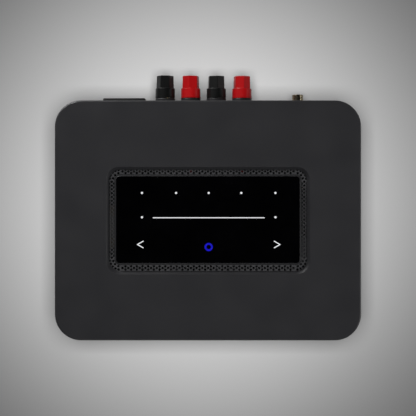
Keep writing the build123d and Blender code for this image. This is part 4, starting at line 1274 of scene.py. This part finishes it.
@dataclass
class Electronics(SubAssembly):
    """The boards with their chips, heat sinks and wound parts.

    The bends of a chip's lead are steps out from its body and up from the board, in
    millimetres.
    """

    seed: int = 11
    tries: int = 900
    most: int = 150
    edge_margin: float = 3.0 * MM
    grid: float = 0.5 * MM
    part_gap: float = 3.2 * MM
    half_part: float = 0.8 * MM
    clearance: float = 1.6 * MM
    kinds: tuple[PartKind, ...] = (
        PartKind.CAPACITOR, PartKind.CAPACITOR, PartKind.RESISTOR, PartKind.DIODE,
    )
    part_chamfer: float = 0.08 * MM
    cap_slot: int = 2
    cap_length: float = 0.35 * MM
    cap_offset: float = 0.12 * MM
    cap_chamfer: float = 0.06 * MM
    low_chip: float = 1.6 * MM
    lead_pitch: float = 0.8 * MM
    lead_margin: float = 1.2 * MM
    lead_width: float = 0.35 * MM
    lead_thickness: float = 0.12 * MM
    lead_bends: tuple[tuple[float, float], ...] = (
        (0.02, 0.5), (0.25, 0.5), (0.45, 0.35), (0.6, 0.1), (0.95, 0.07),
    )
    boards: tuple[str, ...] = ("main_board", "amp_board", "power_board")

    def small_parts(self, board: str, draw: random.Random) -> None:
        """Builds the resistors and capacitors that stand on a board.

        Args:
            board: The board's node.
            draw: The source of the random places.
        """
        low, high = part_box(board)
        space = FreeSpace([o for n, o in self.nodes.items() if n != board])
        work = MeshWork()
        taken: list[Vector] = []
        for _ in range(self.tries):
            x = draw.uniform(low.x + self.edge_margin, high.x - self.edge_margin)
            y = draw.uniform(low.y + self.edge_margin, high.y - self.edge_margin)
            place = Vector((round(x / self.grid), round(y / self.grid), 0)) * self.grid
            place.z = high.z
            kind = draw.choice(self.kinds)
            turned = draw.random() < 0.5
            spaced = all((place - other).length > self.part_gap for other in taken)
            if not spaced or space.room(place) < self.clearance + self.half_part:
                continue
            taken.append(place)
            self.small_part(work, place, kind, math.pi / 2 if turned else 0.0)
            if len(taken) == self.most:
                break
        ceramic = Moulding("part_ceramic", (0.06, 0.042, 0.03), 0.45, 0.2 * MM, dust=0.0)
        resin = Moulding("part_resin", (0.01, 0.01, 0.01), 0.4, 0.2 * MM, dust=0.0)
        tin = Metal("part_tin", (0.62, 0.62, 0.61), (0.5, 0.5, 0.49), 0.3)
        work.piece(f"{board}_parts", [ceramic, resin, tin])

    def small_part(self, work: MeshWork, place: Vector, kind: PartKind,
                   turn: float) -> None:
        """Adds one part with a tinned cap at each end.

        Args:
            work: The mesh that it goes into.
            place: Its place on the board.
            kind: What the part is.
            turn: Its turn about Z, in radians.
        """
        measures, slot = kind.value
        size = Vector(measures) * MM
        along = Matrix.Rotation(turn, 3, "Z") @ Vector((1, 0, 0))
        middle = place + Vector((0, 0, size.z / 2))
        work.chip(middle, size, self.part_chamfer, slot, turn)
        cap = Vector((self.cap_length, size.y * 1.02, size.z * 0.98))
        for end in (-1, 1):
            at = middle + along * end * (size.x / 2 + self.cap_offset)
            at.z = place.z + cap.z / 2
            work.chip(at, cap, self.cap_chamfer, self.cap_slot, turn)

    def chip_leads(self) -> None:
        """Builds the bent leads along two sides of the low chips."""
        low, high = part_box("main_board")
        top = high.z
        work = MeshWork()
        for box_low, box_high in separate_boxes(self.nodes["board_chips"]):
            if box_high.z - top > self.low_chip or box_low.y < low.y:
                continue
            room = box_high.y - box_low.y - self.lead_margin
            middle = (box_low.y + box_high.y) / 2
            for side, edge in ((-1, box_low.x), (1, box_high.x)):
                for offset in spread(int(room / self.lead_pitch) + 1, self.lead_pitch):
                    path = [Vector((edge + side * out * MM, middle + offset, top + up * MM))
                            for out, up in self.lead_bends]
                    work.strip(path, self.lead_width, self.lead_thickness,
                               Vector((0, 1, 0)))
        tin = Metal("lead_tin", (0.62, 0.62, 0.61), (0.5, 0.5, 0.49), 0.3)
        work.piece("chip_leads", [tin])

    def build(self) -> None:
        """Builds the small parts of each board and the leads of the chips."""
        draw = random.Random(self.seed)
        for board in self.boards:
            self.small_parts(board, draw)
        self.chip_leads()

    def dress(self) -> None:
        """Dresses the boards, chips, sinks, coils and capacitors."""
        self.cover(SolderMask("board_laminate"), *self.boards)
        self.cover(SolderMask("aerial_laminate", (0.004, 0.005, 0.006), (0.03, 0.022, 0.012),
                              1.6 * MM), "wifi_antennas")
        self.cover(Metal("module_can", (0.6, 0.6, 0.6), (0.45, 0.45, 0.45), 0.3),
                   "wifi_module")
        self.cover(Moulding("chip_epoxy", (0.010, 0.010, 0.011), 0.6, 0.12 * MM,
                            0.006 * MM, dust=0.03), "board_chips")
        self.cover(Anodised("black_anodised"), "amp_heat_sink", "processor_heat_sink")
        self.cover(Moulding("inductor_resin", (0.03, 0.03, 0.032), 0.68, 0.25 * MM,
                            0.02 * MM), "output_inductors")
        self.cover(CanSleeve("can_sleeve"), "bulk_capacitors")
        low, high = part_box("power_transformer")
        self.cover(WoundCore("wound_core", centre_y=(low.y + high.y) / 2,
                             half_core=(high.y - low.y) / 4), "power_transformer")


def separate_boxes(node: bpy.types.Object,
                   weld: float = 0.001 * MM) -> list[tuple[Vector, Vector]]:
    """Gives the box of each separate solid of a node.

    Args:
        node: The node's object.
        weld: How near two corners are when they count as one.

    Returns:
        The lowest and highest corner of each solid.
    """
    mesh = bmesh.new()
    mesh.from_mesh(node.data)
    bmesh.ops.remove_doubles(mesh, verts=mesh.verts, dist=weld)
    left = set(mesh.verts)
    boxes = []
    while left:
        grow = [left.pop()]
        found = []
        while grow:
            vert = grow.pop()
            found.append(vert.co.copy())
            for edge in vert.link_edges:
                other = edge.other_vert(vert)
                if other in left:
                    left.remove(other)
                    grow.append(other)
        low = Vector(min(c[i] for c in found) for i in range(3))
        high = Vector(max(c[i] for c in found) for i in range(3))
        boxes.append((low, high))
    mesh.free()
    return sorted(boxes, key=lambda b: tuple(b[0]))


# ------------------------------------------------------------------ studio
@dataclass(frozen=True)
class SoftBox:
    """An area light that points at the amplifier.

    Its lean is measured from straight up and its heading from +Y towards +X, both
    in degrees. It is square unless it has a long side.
    """

    title: str
    power: float
    size: float
    distance: float
    lean: float
    heading: float
    mirrored: bool = True
    long_side: float = 0.0
    floor: bool = False

    def place(self, target: Vector, parts: bpy.types.Collection) -> None:
        """Adds the light.

        Args:
            target: The point that it faces.
            parts: What it lights, unless it lights the floor too.
        """
        data = bpy.data.lights.new(self.title, "AREA")
        data.energy = self.power
        data.shape = "RECTANGLE"
        data.size = self.long_side or self.size
        data.size_y = self.size
        lean, heading = math.radians(self.lean), math.radians(self.heading)
        away = Vector((math.sin(heading) * math.sin(lean),
                       math.cos(heading) * math.sin(lean), math.cos(lean)))
        made = bpy.data.objects.new(self.title, data)
        made.location = target + away * self.distance
        made.rotation_euler = (-away).to_track_quat("-Z", "Y").to_euler()
        made.visible_camera = False
        made.visible_glossy = self.mirrored
        if not self.floor:
            made.light_linking.receiver_collection = parts
        bpy.context.scene.collection.objects.link(made)
        log.info("light %s", self.title)


@dataclass
class Studio:
    """The floor, the soft boxes and the camera."""

    case_low: Vector
    case_high: Vector
    eye_height: float = 1.070
    eye_shift: float = 8.9 * MM
    lens: float = 120.6
    sensor_width: float = 36.0
    floor_radius: float = 2.5
    floor_sides: int = 96
    light_pool_shift: tuple[float, float] = (-8.0 * MM, 8.0 * MM)
    air: float = 0.004
    lights: tuple[SoftBox, ...] = field(default_factory=lambda: (
        SoftBox("overhead_box", 16.4, 0.42, 1.2, 0.0, 0.0, mirrored=False, floor=True),
        SoftBox("key_box", 0.2, 0.42, 1.1, 32.0, -28.0),
        SoftBox("rear_strip", 7.5, 0.2, 0.9, 72.0, -33.0, long_side=0.5),
        SoftBox("right_fill", 2.8, 0.25, 0.9, 70.0, 100.0, long_side=0.5),
        SoftBox("front_fill", 1.5, 0.5, 1.2, 62.0, 185.0),
    ))

    def middle(self) -> Vector:
        """Gives the middle of the case on the floor."""
        centre = (self.case_low + self.case_high) / 2
        return Vector((centre.x, centre.y, 0.0))

    def floor(self) -> None:
        """Builds the floor as one flat disc, with a painted pool of light palest near the middle
        of the case.
        """
        centre = self.middle()
        mesh = bmesh.new()
        bmesh.ops.create_circle(mesh, cap_ends=True, segments=self.floor_sides,
                                radius=self.floor_radius, matrix=Matrix.Translation(centre))
        data = bpy.data.meshes.new("studio_floor")
        mesh.to_mesh(data)
        mesh.free()
        made = bpy.data.objects.new("studio_floor", data)
        bpy.context.scene.collection.objects.link(made)
        # The painted pool of light is centred a little to the left of and behind the case's
        # middle.
        pool_x, pool_y = self.light_pool_shift
        middle = (centre.x + pool_x, centre.y + self.eye_shift + pool_y)
        finish = PaintedLightPoolFloor("painted_light_pool_floor", centre=middle)
        data.materials.append(finish.material())
        made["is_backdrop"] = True
        log.info("stage studio_floor")

    def room(self) -> None:
        """Fills the air round the studio with a very weak grey light."""
        world = bpy.data.worlds.new("studio_air")
        world.use_nodes = True
        back = world.node_tree.nodes["Background"]
        back.inputs["Color"].default_value = (self.air, self.air, self.air, 1.0)
        back.inputs["Strength"].default_value = 1.0
        bpy.context.scene.world = world
        bpy.context.scene.view_settings.view_transform = "Standard"

    def camera(self) -> None:
        """Hangs the camera over the case, looking straight down.

        The eye is a little behind the case's middle. The lens length and the sensor's width
        are in millimetres.
        """
        data = bpy.data.cameras.new("overhead_camera")
        data.lens = self.lens
        data.sensor_width = self.sensor_width
        made = bpy.data.objects.new("overhead_camera", data)
        made.location = self.middle() + Vector((0.0, self.eye_shift, self.eye_height))
        bpy.context.scene.collection.objects.link(made)
        bpy.context.scene.camera = made

    def build(self) -> None:
        """Builds the floor, the air, the lights and the camera."""
        self.floor()
        self.room()
        target = self.middle() + Vector((0.0, 0.0, self.case_high.z / 2))
        parts = bpy.data.collections.new("lit_parts")
        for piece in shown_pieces():
            parts.objects.link(piece)
        for light in self.lights:
            light.place(target, parts)
        self.camera()


def main() -> None:
    """Loads the frame, builds and dresses each sub-assembly, and sets the studio."""
    logging.basicConfig(level=logging.INFO, format="%(name)s: %(message)s")
    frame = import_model()
    nodes = frame["nodes"]
    for maker in (Casing, TouchPanel, SpeakerTerminals, RearSockets, Electronics):
        part = maker(nodes)
        part.build()
        part.dress()
    undressed = [n for n, o in nodes.items() if not o.data.materials[:]]
    log.info("nodes without a finish: %s", undressed or "none")
    Studio(*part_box("top_shell")).build()


if __name__ == "__main__":
    main()
